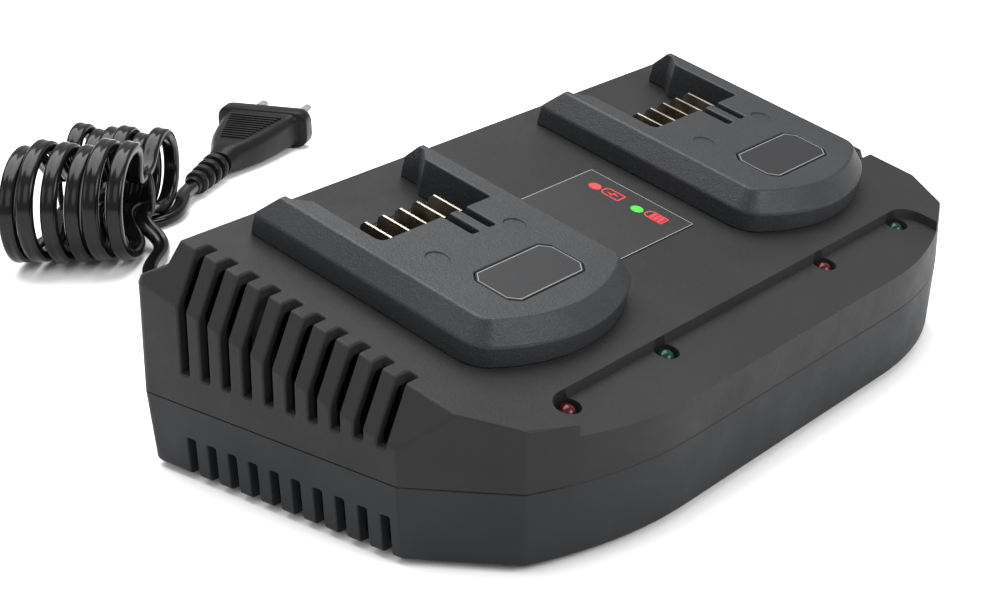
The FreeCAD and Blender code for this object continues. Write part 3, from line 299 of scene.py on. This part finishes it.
def flat_print(name, colour, rough=0.35):
    """Printed ink or lacquer with a little unevenness."""
    finish = Finish(name, Specular_IOR_Level=0.25)
    cloud = finish.noise(600.0, 3.0)
    deeper = tuple(channel * 0.82 for channel in colour)
    finish.set(
        Base_Color=finish.mix(cloud, deeper, colour),
        Roughness=finish.vary(cloud, rough - 0.05, rough + 0.06),
        Normal=finish.bump(finish.noise(2400.0, 2.0), 0.01 * MM),
    )
    return finish.material


CORD = cord_sheath()
BLADES = contact_metal()
NICKEL = plated("pin_nickel", (0.66, 0.63, 0.58))
ZINC = plated("screw_zinc", (0.55, 0.56, 0.58), 0.3)
SINK = plated("sink_anodised", (0.05, 0.05, 0.055), 0.45)
RED_LENS = lens("red_lens", (0.030, 0.002, 0.003), (0.060, 0.004, 0.005))
GREEN_LENS = lens("green_lens", (0.001, 0.016, 0.009), (0.002, 0.034, 0.019))
LABEL_FILM = flat_print("label_film", (0.012, 0.0122, 0.0125), 0.45)
PLATE_FILM = flat_print("badge_lacquer", (0.009, 0.0094, 0.0105), 0.45)
PALE_INK = flat_print("pale_ink", (0.30, 0.31, 0.31))
RED_INK = flat_print("red_ink", (0.80, 0.035, 0.05))
SIGNAL_RED_INK = flat_print("signal_red_ink", (0.95, 0.045, 0.04))
GREEN_INK = flat_print("green_ink", (0.06, 0.75, 0.035))
# Green board lacquer, darkened as painted shade for the dim inside of the housing seen through the vents
BOARD_WITH_PAINTED_SHADE = flat_print("board_lacquer_with_painted_shade", (0.004, 0.018, 0.008), 0.5)
CORE = flat_print("ferrite", (0.05, 0.05, 0.055), 0.5)
TAPE = flat_print("winding_tape", (0.72, 0.52, 0.06))
SLEEVE = flat_print("capacitor_sleeve", (0.03, 0.04, 0.09), 0.3)
GLASS = flat_print("fuse_tube", (0.55, 0.57, 0.55), 0.15)
COPPER = plated("enamelled_copper", (0.62, 0.27, 0.10), 0.25)
TERMINAL = flat_print("terminal_plastic", (0.006, 0.009, 0.007), 0.5)
WIRE = flat_print("wire_insulation", (0.008, 0.002, 0.002), 0.5)


# Helpers for pieces


def finished(name, mesh, material, smooth_angle=30.0):
    """A mesh as a piece of the charger, shaded smooth up to an angle, riding on its body."""
    piece = bpy.data.objects.new(name, mesh)
    bpy.context.collection.objects.link(piece)
    mesh.materials.clear()
    mesh.materials.append(material)
    shade(mesh, smooth_angle)
    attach(piece, "root")
    return piece


def shade(mesh, smooth_angle):
    shaped = bmesh.new()
    shaped.from_mesh(mesh)
    limit = math.radians(smooth_angle)
    for face in shaped.faces:
        face.smooth = True
    for edge in shaped.edges:
        if len(edge.link_faces) == 2:
            edge.smooth = edge.calc_face_angle(0.0) < limit
    shaped.to_mesh(mesh)
    shaped.free()


# A CAD node's mesh: how close its doubled corners lie, and how flat a face's triangles meet
DOUBLES = 0.002 * MM
FLAT_ANGLE = math.radians(0.6)

# Edges that meet at more than this angle are rounded
SHARP_ANGLE = math.radians(28.0)

# The share of a neighbouring edge's length that a rounding may take: alone, or with one at its far end
OWN_ROOM = 0.9
SHARED_ROOM = 0.45

# A neighbour this nearly in line with an edge, as a cosine, carries it on and limits nothing
IN_LINE = 0.85

# A rounding narrower than this share of its width is left off
LEAST_SHARE = 0.3


def softened(name, node, material, width, segments=3, reshape=None, plain=None):
    """A CAD node's own shape with its edges rounded, in place of the node."""
    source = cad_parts[node]
    shaped = bmesh.new()
    shaped.from_mesh(source.data)
    bmesh.ops.remove_doubles(shaped, verts=shaped.verts, dist=DOUBLES)
    if reshape:
        reshape(shaped)
    bmesh.ops.dissolve_limit(
        shaped, angle_limit=FLAT_ANGLE, verts=shaped.verts, edges=shaped.edges
    )
    weigh_edges(shaped, width * MM, plain)
    mesh = bpy.data.meshes.new(name)
    shaped.to_mesh(mesh)
    shaped.free()
    piece = finished(name, mesh, material)
    bevel = piece.modifiers.new("edge_rounding", "BEVEL")
    bevel.width = width * MM
    bevel.segments = segments
    bevel.limit_method = "WEIGHT"
    bevel.use_clamp_overlap = False
    bevel.miter_outer = "MITER_ARC"
    flat_faces = piece.modifiers.new("flat_faces", "WEIGHTED_NORMAL")
    flat_faces.mode = "FACE_AREA"
    flat_faces.weight = 100
    flat_faces.keep_sharp = True
    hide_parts(node)
    return piece


def weigh_edges(shaped, width, plain):
    """Bevel weights: full on sharp edges with room for it, less where a face beside them is narrow."""
    layer = shaped.edges.layers.float.new("bevel_weight_edge")
    sharp = {
        edge for edge in shaped.edges
        if len(edge.link_faces) == 2 and edge.calc_face_angle(0.0) > SHARP_ANGLE
        and not (plain and any(plain(vert.co) for vert in edge.verts))
    }
    for edge in sharp:
        way = (edge.verts[1].co - edge.verts[0].co).normalized()
        room = width
        for vert in edge.verts:
            for other in vert.link_edges:
                if other is edge:
                    continue
                step = other.other_vert(vert).co - vert.co
                length = step.length
                if length == 0.0 or abs(step.dot(way)) > IN_LINE * length:
                    continue
                shared = any(next_edge in sharp for next_edge in other.other_vert(vert).link_edges)
                room = min(room, length * (SHARED_ROOM if shared else OWN_ROOM))
        edge[layer] = room / width if room > LEAST_SHARE * width else 0.0


def dress(material, *nodes):
    for node in nodes:
        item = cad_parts[node]
        item.data.materials.clear()
        item.data.materials.append(material)


# The sloping roof: x across, v down the slope from its back edge, w above it

TILT = math.radians(13.7)
ROOF_BACK = Vector((0.0, 50.8, 60.9))
DOCK_SPACING = 115.0


def roof_matrix(x, v, w):
    place = Vector((
        x,
        ROOF_BACK.y - v * math.cos(TILT) - w * math.sin(TILT),
        ROOF_BACK.z - v * math.sin(TILT) + w * math.cos(TILT),
    ))
    return Matrix.Translation(place * MM) @ Matrix.Rotation(TILT, 4, "X")


# Mains cord: one flat twin lead from the gland through the hank to the plug

CORD_RADIUS = 2.2

# Height of the cord's middle where it lies on the surface
FLOOR = CORD_RADIUS + 0.15

HANK_MIDDLE = Vector((-7.0, 194.0, 0.0))
HANK_HEADING = math.radians(30.0)
HANK_LOOPS = 6
WAIST_PITCH = 5.1
WAIST_LOW = 9.0
WAIST_HIGH = 21.0
FAN_PITCH = 6.4
FAN_REACH = 25.0
FAN_SKEW = 1.5
FAN_HEIGHT = 37.0
TAIL_PITCH = 5.1
TAIL_REACH = 17.0
TAIL_HEIGHT = 29.0
TAIL_LIFT = 2.0
FAN_LIFT = 0.9

# How far the loops differ from each other, in height and reach, and in what steps
LOOP_SWAY = 1.5
TAIL_FOOT_SWAY = 1.2
FAN_FOOT_SWAY = 0.8
REACH_SWAY = 2.0
SWAY_STEP = 2.1
REACH_STEP = 1.7

LEAD_IN = (-20.0, -24.0)
ALONG = Vector((math.cos(HANK_HEADING), math.sin(HANK_HEADING), 0.0))
ACROSS = Vector((-math.sin(HANK_HEADING), math.cos(HANK_HEADING), 0.0))
BOOT_END = Vector((34.5, 198.0, 4.7))
PLUG_HEADING = math.radians(22.0)
PLUG_PITCH = math.radians(2.3)
PLUG_TURN = Matrix.Rotation(PLUG_HEADING, 4, "Z") @ Matrix.Rotation(-PLUG_PITCH, 4, "Y")
PLUG_WAY = PLUG_TURN @ Vector((1.0, 0.0, 0.0))
GLAND_TIP = Vector((-52.0, 87.0, 13.0))
CORD_WIDTH = 5.0
CORD_THICKNESS = 3.2


def hank_point(along, across, height):
    return HANK_MIDDLE + ALONG * along + ACROSS * across + Vector((0.0, 0.0, height))


def drift(start, end, way):
    """The two corners of an S-shaped run from start to end, both along way at their ends."""
    step = end - start
    reach = step.length_squared / (4.0 * step.dot(way))
    return [start + way * reach, end - way * reach]


def fold(first, second, way):
    """The four corners of the half turn from first to second, bulging along way."""
    middle = (first + second) * 0.5
    spoke = (second - first) * 0.5
    out = way * spoke.length
    stretch = 1.0 / math.cos(math.radians(22.5))
    corners = []
    for corner in range(4):
        turn = math.radians(-67.5 + corner * 45.0)
        corners.append(middle + (spoke * math.sin(turn) + out * math.cos(turn)) * stretch)
    return corners


def cord_route():
    """Control points of the whole cord, in millimetres."""
    lead_in = hank_point(*LEAD_IN, FLOOR)
    route = [
        GLAND_TIP,
        GLAND_TIP + Vector((0.0, 14.0, 0.0)),
        Vector((-48.0, 118.0, 4.2)),
        Vector((-39.0, 133.0, FLOOR)),
        Vector((-30.0, 148.0, FLOOR)),
        lead_in - ALONG * 12.0,
    ]
    at = lead_in
    for loop in range(HANK_LOOPS):
        place = loop - (HANK_LOOPS - 1) / 2
        sway = math.sin(loop * SWAY_STEP)
        reach = TAIL_REACH + REACH_SWAY * math.cos(loop * REACH_STEP)
        tail_foot = FLOOR + TAIL_LIFT + TAIL_FOOT_SWAY * sway
        tail_low = hank_point(reach, place * TAIL_PITCH, tail_foot)
        tail_high = hank_point(reach, place * TAIL_PITCH, TAIL_HEIGHT - LOOP_SWAY * sway)
        waist_low = hank_point(0.0, place * WAIST_PITCH, WAIST_LOW)
        waist_high = hank_point(0.0, place * WAIST_PITCH, WAIST_HIGH)
        fan = -(FAN_REACH + FAN_SKEW * place + LOOP_SWAY * sway)
        fan_high = hank_point(fan, place * FAN_PITCH, FAN_HEIGHT + LOOP_SWAY * sway)
        fan_low = hank_point(fan, place * FAN_PITCH, FLOOR + FAN_LIFT + FAN_FOOT_SWAY * sway)
        route += drift(at, waist_low, ALONG)
        route += drift(waist_low, tail_low, ALONG)
        route += fold(tail_low, tail_high, ALONG)
        route += drift(tail_high, waist_high, -ALONG)
        route += drift(waist_high, fan_high, -ALONG)
        route += fold(fan_high, fan_low, -ALONG)
        at = fan_low
    route += [
        at + ALONG * 17.0,
        hank_point(-1.0, 6.0, FLOOR),
        hank_point(3.0, -8.0, FLOOR),
        hank_point(13.0, -18.0, FLOOR),
        hank_point(24.0, -18.2, FLOOR + 1.0),
        BOOT_END - PLUG_WAY * 8.0,
        BOOT_END,
    ]
    return route


def nurbs(name, points, resolution=6):
    curve = bpy.data.curves.new(name, "CURVE")
    curve.dimensions = "3D"
    spline = curve.splines.new("NURBS")
    spline.points.add(len(points) - 1)
    for point, place in zip(spline.points, points):
        point.co = (*(place * MM), 1.0)
    spline.order_u = 3
    spline.use_endpoint_u = True
    spline.resolution_u = resolution
    curve.twist_mode = "MINIMUM"
    return curve


def curve_mesh(name, curve):
    """What a curve looks like, as a mesh of its own."""
    item = bpy.data.objects.new(name, curve)
    bpy.context.collection.objects.link(item)
    bpy.context.view_layer.update()
    seen = item.evaluated_get(bpy.context.evaluated_depsgraph_get())
    mesh = bpy.data.meshes.new_from_object(seen)
    bpy.data.objects.remove(item)
    return mesh


# The section's corners stand out by these factors, because the curve runs inside them
SECTION_WIDER = 1.05
SECTION_THICKER = 1.1


def twin_section():
    """Outline of the flat cord: two round cores side by side under one sheath."""
    curve = bpy.data.curves.new("twin_section", "CURVE")
    spline = curve.splines.new("NURBS")
    half = CORD_WIDTH / 2
    high = CORD_THICKNESS / 2
    corners = [
        (half, -0.45 * high), (half, 0.45 * high), (0.78 * half, high), (0.3 * half, high),
        (0.0, 0.9 * high), (-0.3 * half, high), (-0.78 * half, high), (-half, 0.45 * high),
        (-half, -0.45 * high), (-0.78 * half, -high), (-0.3 * half, -high), (0.0, -0.9 * high),
        (0.3 * half, -high), (0.78 * half, -high),
    ]
    spline.points.add(len(corners) - 1)
    for point, (across, up) in zip(spline.points, corners):
        point.co = (across * MM * SECTION_WIDER, up * MM * SECTION_THICKER, 0.0, 1.0)
    spline.order_u = 3
    spline.use_cyclic_u = True
    spline.resolution_u = 2
    section = bpy.data.objects.new("twin_section", curve)
    bpy.context.collection.objects.link(section)
    return section


def add_cord():
    route = cord_route()
    line = curve_mesh("cord_line", nurbs("cord_line", route))
    path = [tuple(vertex.co) for vertex in line.vertices]
    section = twin_section()
    curve = nurbs("mains_cord_curve", route)
    curve.bevel_mode = "OBJECT"
    curve.bevel_object = section
    curve.use_fill_caps = True
    mesh = curve_mesh("mains_cord", curve)
    bpy.data.objects.remove(section)
    cord = finished("mains_cord", mesh, CORD, 60.0)
    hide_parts("cord_lead", "cord_hank", "cord_tail")
    return cord, path


cord, cord_path = add_cord()


TIE_RADIUS = 0.75
TIE_TURNS = 2
TIE_START = -1.0
TIE_PITCH = 1.55
TIE_CREEP = 0.12
TIE_CORNER = 2.6


def add_tie():
    """A thin black tie wound twice round the hank's waist, its two ends lying on top."""
    half = (HANK_LOOPS - 1) / 2 * WAIST_PITCH + CORD_WIDTH / 2 + 0.4
    low = WAIST_LOW - CORD_WIDTH / 2 - 0.3
    high = WAIST_HIGH + CORD_WIDTH / 2 + 0.3
    inner = half - TIE_CORNER
    ring = [
        (inner, high), (-inner, high), (-half, high - TIE_CORNER), (-half, low + TIE_CORNER), (-inner, low),
        (inner, low), (half, low + TIE_CORNER), (half, high - TIE_CORNER),
    ]
    route = [hank_point(-3.4, half - 7.0, high + 1.6), hank_point(-1.6, half - 5.5, high + 0.7)]
    for turn in range(TIE_TURNS):
        for step, (across, height) in enumerate(ring):
            along = TIE_START + turn * TIE_PITCH + step * TIE_CREEP
            if turn or step:
                route.append(hank_point(along, across, height))
    route += [hank_point(1.8, half - 5.0, high + 0.7), hank_point(3.4, half - 7.5, high + 1.5)]
    curve = nurbs("cord_tie_curve", route, 5)
    curve.bevel_depth = TIE_RADIUS * MM
    curve.bevel_resolution = 3
    curve.use_fill_caps = True
    wound = finished("waist_tie", curve_mesh("waist_tie", curve), CORD, 60.0)
    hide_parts("cord_tie")
    return wound


tie = add_tie()


# Plug

PLUG_MATRIX = Matrix.Translation(BOOT_END * MM) @ PLUG_TURN


def plug_ring(shaped, along, half_width, half_height, corner, steps=4):
    """A closed ring of vertices round the plug's axis: a rectangle with rounded corners."""
    ring = []
    for quarter, (side, up) in enumerate(((1, -1), (1, 1), (-1, 1), (-1, -1))):
        centre = ((half_width - corner) * side, (half_height - corner) * up)
        for step in range(steps + 1):
            turn = math.radians(-90 + quarter * 90 + 90 * step / steps)
            ring.append(shaped.verts.new((
                along * MM,
                (centre[0] + corner * math.cos(turn)) * MM,
                (centre[1] + corner * math.sin(turn)) * MM,
            )))
    edges = [shaped.edges.new(pair) for pair in zip(ring, ring[1:] + ring[:1])]
    return ring, edges


# Along the plug, in millimetres: distance from the boot's end, half width, half height, corner
PLUG_STATIONS = [
    (23.5, 4.4, 3.9, 3.7), (26.0, 5.2, 4.6, 4.2), (27.5, 5.6, 4.9, 4.2), (30.0, 6.3, 5.1, 3.9),
    (34.5, 8.2, 5.2, 3.6), (41.0, 10.3, 5.4, 3.4), (49.0, 12.0, 5.6, 3.2), (56.5, 13.2, 5.7, 3.0),
    (61.0, 13.7, 5.8, 2.8), (61.7, 14.2, 6.0, 2.8), (62.0, 16.6, 6.6, 3.9), (62.6, 17.5, 6.8, 4.3),
    (67.2, 17.65, 6.8, 4.4), (67.8, 17.3, 6.6, 4.2), (68.0, 16.9, 6.2, 3.9),
]


def add_plug():
    shaped = bmesh.new()
    rings = [plug_ring(shaped, *station) for station in PLUG_STATIONS]
    for (_, before), (_, after) in zip(rings, rings[1:]):
        bmesh.ops.bridge_loops(shaped, edges=before + after)
    for ring, _ in (rings[0], rings[-1]):
        bmesh.ops.contextual_create(shaped, geom=ring)
    boot_rings(shaped)
    grip_ribs(shaped)
    bmesh.ops.recalc_face_normals(shaped, faces=shaped.faces)
    bmesh.ops.transform(shaped, matrix=PLUG_MATRIX, verts=shaped.verts)
    mesh = bpy.data.meshes.new("plug_moulding")
    shaped.to_mesh(mesh)
    shaped.free()
    plug = finished("plug_moulding", mesh, PLUG, 40.0)
    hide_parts("plug_body")
    return plug


BOOT_RINGS = 4
BOOT_CORE = 2.9
RING_START = 2.6
RING_PITCH = 5.1
RING_RADIUS = 4.2
RING_GROWTH = 0.25
RING_EDGE = 0.5


def boot_rings(shaped):
    """The ribbed sleeve behind the plug, turned round its axis."""
    outline = [(0.0, 0.0), (0.0, BOOT_CORE), (0.8, BOOT_CORE + 0.2)]
    for ring in range(BOOT_RINGS):
        start = RING_START + ring * RING_PITCH
        radius = RING_RADIUS + ring * RING_GROWTH
        outline += [
            (start, BOOT_CORE), (start + 0.2, radius - RING_EDGE), (start + 0.8, radius),
            (start + 2.2, radius), (start + 2.8, radius - RING_EDGE), (start + 3.0, BOOT_CORE),
        ]
    outline += [(24.4, 3.0), (24.6, 0.0)]
    chain = [shaped.verts.new((along * MM, radius * MM, 0.0)) for along, radius in outline]
    edges = [shaped.edges.new(pair) for pair in zip(chain, chain[1:])]
    bmesh.ops.spin(
        shaped, geom=chain + edges, cent=(0, 0, 0), axis=(1, 0, 0), angle=math.tau, steps=28,
        use_merge=True,
    )
    bmesh.ops.remove_doubles(shaped, verts=shaped.verts, dist=0.001 * MM)


GRIP_RIBS = 11
RIB_START = 36.0
RIB_PITCH = 2.1
RIB_WIDTH = 0.9
RIB_ROUND = 0.22

# The flat sides that the ribs stand on, from their narrow end to their wide one
GRIP_START = 30.0
GRIP_LENGTH = 31.0
NARROW_HALF = 3.4
WIDER_BY = 7.4
NARROW_HEIGHT = 5.15
HIGHER_BY = 0.95


def grip_ribs(shaped):
    """Fine bars across the plug's two flat sides."""
    for up in (-1, 1):
        for number in range(GRIP_RIBS):
            along = RIB_START + number * RIB_PITCH
            share = (along - GRIP_START) / GRIP_LENGTH
            half = NARROW_HALF + WIDER_BY * share
            height = NARROW_HEIGHT + HIGHER_BY * share
            rib = bmesh.ops.create_cube(shaped, size=1.0, matrix=(
                Matrix.Translation(Vector((along, 0.0, up * height)) * MM)
                @ Matrix.Diagonal((RIB_WIDTH * MM, 2 * half * MM, RIB_WIDTH * MM, 1.0))
            ))
            edges = {edge for vert in rib["verts"] for edge in vert.link_edges}
            bmesh.ops.bevel(
                shaped, geom=list(edges), offset=RIB_ROUND * MM, affect="EDGES", segments=2,
                profile=0.5, material=-1,
            )


plug = add_plug()
dress(NICKEL, "plug_pins")
dress(PLUG, "plug_sleeves")
dress(GLAND, "cord_gland")


# Housing and docks

ROOF_LAY_BACK = roof_matrix(0.0, 0.0, 0.0).inverted()
SHELF_WALL_Y = -43.3
SHELF_STRAIGHT = 78.4
SHELF_CORNER = 6.5
LAMP_HOLE = 3.3
LAMP_Y = -46.1
LAMP_STEP = 19.95
LAMP_PLACES = [side * DOCK_SPACING / 2 + step * LAMP_STEP for side in (-1, 1) for step in (-1, 1)]

# The shelf's wall and the lamps' line along the roof, negative down the slope
SHELF_WALL = (SHELF_WALL_Y - ROOF_BACK.y) / math.cos(TILT)
LAMP_LINE = (LAMP_Y - ROOF_BACK.y) / math.cos(TILT)

# How near to the roof, to a lamp hole's edge or to the shelf's wall a corner of the mesh counts as on it
ON_ROOF = 0.1
ON_HOLE = 0.1
ON_WALL = 0.03

# Beyond these lie the base's back corners
BACK_CORNER_X = 100.0
BACK_CORNER_Y = 52.0

# How far round the shelf nothing is rounded
SHELF_MARGIN = 0.5


def shelf_wall(x):
    """Where the shelf's wall stands along the roof at x: it is rounded at its two ends."""
    beyond = min(max(0.0, abs(x) - SHELF_STRAIGHT), SHELF_CORNER)
    return SHELF_WALL - SHELF_CORNER + math.sqrt(SHELF_CORNER ** 2 - beyond ** 2)


def close_lamp_grooves(shaped):
    """Straightens the shelf wall's upper edge where the lamp holes graze the wall."""
    welds = {}
    for lamp_x in LAMP_PLACES:
        groove, ends = [], []
        for vert in shaped.verts:
            place = (ROOF_LAY_BACK @ vert.co) / MM
            from_lamp = math.hypot(place.x - lamp_x, place.y - LAMP_LINE)
            if abs(place.z) < ON_ROOF and from_lamp < LAMP_HOLE + ON_HOLE:
                over = place.y - shelf_wall(place.x)
                (groove if over > ON_WALL else ends).append(vert)
        for vert in groove:
            welds[vert] = min(ends, key=lambda end: (end.co - vert.co).length)
    bmesh.ops.weld_verts(shaped, targetmap=welds)


def back_corner_is_plain(place):
    """Whether an edge's end lies at a back corner of the base, which its solid rounds already."""
    return abs(place.x) > BACK_CORNER_X * MM and place.y > BACK_CORNER_Y * MM


def shelf_is_plain(place):
    """Whether an edge's end lies on the lamp shelf or its wall, where nothing is rounded."""
    place = (ROOF_LAY_BACK @ place) / MM
    half_width = SHELF_STRAIGHT + SHELF_CORNER + SHELF_MARGIN
    return place.y < SHELF_WALL + SHELF_MARGIN and abs(place.x) < half_width


# How wide each kind of edge is rounded
SHELL_ROUND = 0.55
BASE_ROUND = 0.4
DOCK_ROUND = 0.45
BADGE_ROUND = 0.15
LABEL_ROUND = 0.08

softened(
    "upper_shell", "top_shell", SHELL, SHELL_ROUND,
    reshape=close_lamp_grooves, plain=shelf_is_plain,
)
softened("lower_shell", "bottom_shell", SHELL_LOW, BASE_ROUND, plain=back_corner_is_plain)
for side in ("left", "right"):
    softened(f"{side}_battery_dock", f"{side}_dock", DOCK, DOCK_ROUND)
    softened(f"{side}_badge_plate", f"{side}_dock_badge", PLATE_FILM, BADGE_ROUND, 2)
    dress(BLADES, f"{side}_contact_blades")
    dress(TRAY, f"{side}_terminal_block")
    dress(RED_LENS, f"{side}_red_lamp")
    dress(GREEN_LENS, f"{side}_green_lamp")
softened("label_film_sheet", "status_label", LABEL_FILM, LABEL_ROUND, 2)


# Printed marks, drawn flat and laid on the label or the badge plates

LABEL_TOP = 0.3
BADGE_TOP = 10.8
INK = 0.03
LABEL_LINE = 0.16
BADGE_LINE = 0.15
SIGN_LINE = 0.34
DOT_RADIUS = 1.75

# How far the label's line lies inside its edge, along the slope, and its share of the width across
LINE_INSET = 0.15
LINE_SHARE = 0.992


def flat_piece(name, outlines, matrix, material):
    """Thin flat shapes from outlines in millimetres, each a list of corners, as one piece."""
    shaped = bmesh.new()
    for outline in outlines:
        face = shaped.faces.new([shaped.verts.new((x * MM, y * MM, 0.0)) for x, y in outline])
        if face.normal.z < 0:
            face.normal_flip()
    shaped.normal_update()
    raised = bmesh.ops.extrude_face_region(shaped, geom=shaped.faces[:])
    tops = [item for item in raised["geom"] if isinstance(item, bmesh.types.BMVert)]
    bmesh.ops.translate(shaped, verts=tops, vec=(0.0, 0.0, INK * MM))
    bmesh.ops.recalc_face_normals(shaped, faces=shaped.faces)
    bmesh.ops.transform(shaped, matrix=matrix, verts=shaped.verts)
    mesh = bpy.data.meshes.new(name)
    shaped.to_mesh(mesh)
    shaped.free()
    return finished(name, mesh, material)


def disc(x, y, radius, corners=32):
    return [
        (x + radius * math.cos(math.tau * n / corners), y + radius * math.sin(math.tau * n / corners))
        for n in range(corners)
    ]


def bar(x0, y0, x1, y1, width):
    """A straight stroke from one point to another."""
    length = math.hypot(x1 - x0, y1 - y0)
    nx, ny = -(y1 - y0) / length * width / 2, (x1 - x0) / length * width / 2
    return [(x0 - nx, y0 - ny), (x1 - nx, y1 - ny), (x1 + nx, y1 + ny), (x0 + nx, y0 + ny)]


def outline_strokes(corners, width):
    strokes = []
    for (x0, y0), (x1, y1) in zip(corners, corners[1:] + corners[:1]):
        strokes.append(bar(x0, y0, x1, y1, width))
    return strokes


def battery_sign(x, v, full):
    """A plain battery sign, its nub up the slope: outlined, with bars when full and a bolt when not."""
    half, top, bottom = 1.9, 3.0, -3.0
    corners = [
        (-half, bottom), (half, bottom), (half, top - 1.0), (half * 0.55, top),
        (-half * 0.55, top), (-half, top - 1.0),
    ]
    strokes = outline_strokes([(x + cx, -v + cy) for cx, cy in corners], SIGN_LINE)
    if full:
        for number in range(3):
            low = -v + bottom + 0.7 + number * 1.35
            strokes.append([
                (x - half + 0.5, low), (x + half - 0.5, low),
                (x + half - 0.5, low + 1.0), (x - half + 0.5, low + 1.0),
            ])
    else:
        strokes.append([(x - 0.2, -v + 1.8), (x - 1.0, -v - 0.2), (x - 0.1, -v - 0.2)])
        strokes.append([(x + 0.2, -v - 1.8), (x + 1.0, -v + 0.1), (x + 0.1, -v + 0.1)])
    return strokes


def add_label_print():
    lay = roof_matrix(0.0, 0.0, LABEL_TOP)
    half, start, end = 17.9, 33.6, 68.7
    corners = [(-half, -end), (half, -end), (half, -start), (-half, -start)]
    inner = [
        (x * LINE_SHARE, y + (LINE_INSET if y == -end else -LINE_INSET)) for x, y in corners
    ]
    flat_piece("label_edge_line", outline_strokes(inner, LABEL_LINE), lay, PALE_INK)
    flat_piece("red_state_dot", [disc(10.7, -40.3, DOT_RADIUS)], lay, SIGNAL_RED_INK)
    flat_piece("green_state_dot", [disc(10.6, -54.8, DOT_RADIUS)], lay, GREEN_INK)
    flat_piece("charging_sign", battery_sign(11.4, 45.9, False), lay, RED_INK)
    flat_piece("charged_sign", battery_sign(11.6, 60.4, True), lay, RED_INK)


def add_badge_lines():
    half, start, end, bevel = 14.35, 62.25, 75.85, 2.45
    corners = [
        (-half, -start - bevel), (-half, -end + bevel), (-half + bevel, -end), (half - bevel, -end),
        (half, -end + bevel), (half, -start - bevel), (half - bevel, -start), (-half + bevel, -start),
    ]
    for name, x in (("left", -DOCK_SPACING / 2), ("right", DOCK_SPACING / 2)):
        lay = roof_matrix(x, 0.0, BADGE_TOP)
        flat_piece(f"{name}_badge_line", outline_strokes(corners, BADGE_LINE), lay, PALE_INK)


add_label_print()
add_badge_lines()


# Pieces inside and below

# the boards' green is partly their lacquer and partly painted shade, darkened for the inside of the housing
dress(BOARD_WITH_PAINTED_SHADE, "main_board", "lamp_board")
dress(CORE, "transformer_core")
dress(TAPE, "transformer_winding")
dress(SLEEVE, "mains_capacitors")
dress(SINK, "heat_sinks")
dress(GLASS, "fuse")
dress(COPPER, "inlet_choke")
dress(TERMINAL, "inlet_terminal")
dress(WIRE, "battery_leads")
dress(ZINC, "housing_screws", "dock_screws")
dress(FOOT, "rubber_feet")
dress(CORD, "inner_cord")


# Floor and light


def add_floor():
    mesh = bpy.data.meshes.new("floor")
    shaped = bmesh.new()
    bmesh.ops.create_grid(shaped, x_segments=1, y_segments=1, size=6.0)
    shaped.to_mesh(mesh)
    shaped.free()
    floor = bpy.data.objects.new("floor", mesh)
    bpy.context.collection.objects.link(floor)
    finish = Finish("floor_paper", Roughness=0.85, Specular_IOR_Level=0.15)
    finish.set(Base_Color=finish.mix(finish.noise(3.0, 2.0), (0.88, 0.88, 0.88), (0.91, 0.91, 0.91)))
    mesh.materials.append(finish.material)


def add_light(name, place, target, size, power):
    data = bpy.data.lights.new(name, "AREA")
    data.shape = "RECTANGLE"
    data.size, data.size_y = size
    data.energy = power
    light = bpy.data.objects.new(name, data)
    light.location = place
    light.rotation_euler = (Vector(target) - Vector(place)).to_track_quat("-Z", "Y").to_euler()
    bpy.context.collection.objects.link(light)


def add_world(strength):
    world = bpy.data.worlds.new("studio")
    world.use_nodes = True
    background = world.node_tree.nodes["Background"]
    background.inputs[0].default_value = (1.0, 1.0, 1.0, 1.0)
    background.inputs[1].default_value = strength
    bpy.context.scene.world = world


add_floor()
add_light("overhead_softbox", (0.1, 0.35, 1.1), (0.0, 0.05, 0.0), (1.3, 1.0), 26.0)
add_light("left_softbox", (-1.1, 0.1, 0.7), (0.0, 0.05, 0.02), (0.9, 0.7), 4.0)
add_light("front_softbox", (0.2, -1.1, 0.75), (0.0, 0.0, 0.02), (0.9, 0.6), 13.0)
add_world(0.6)
bpy.context.scene.view_settings.view_transform = "Standard"
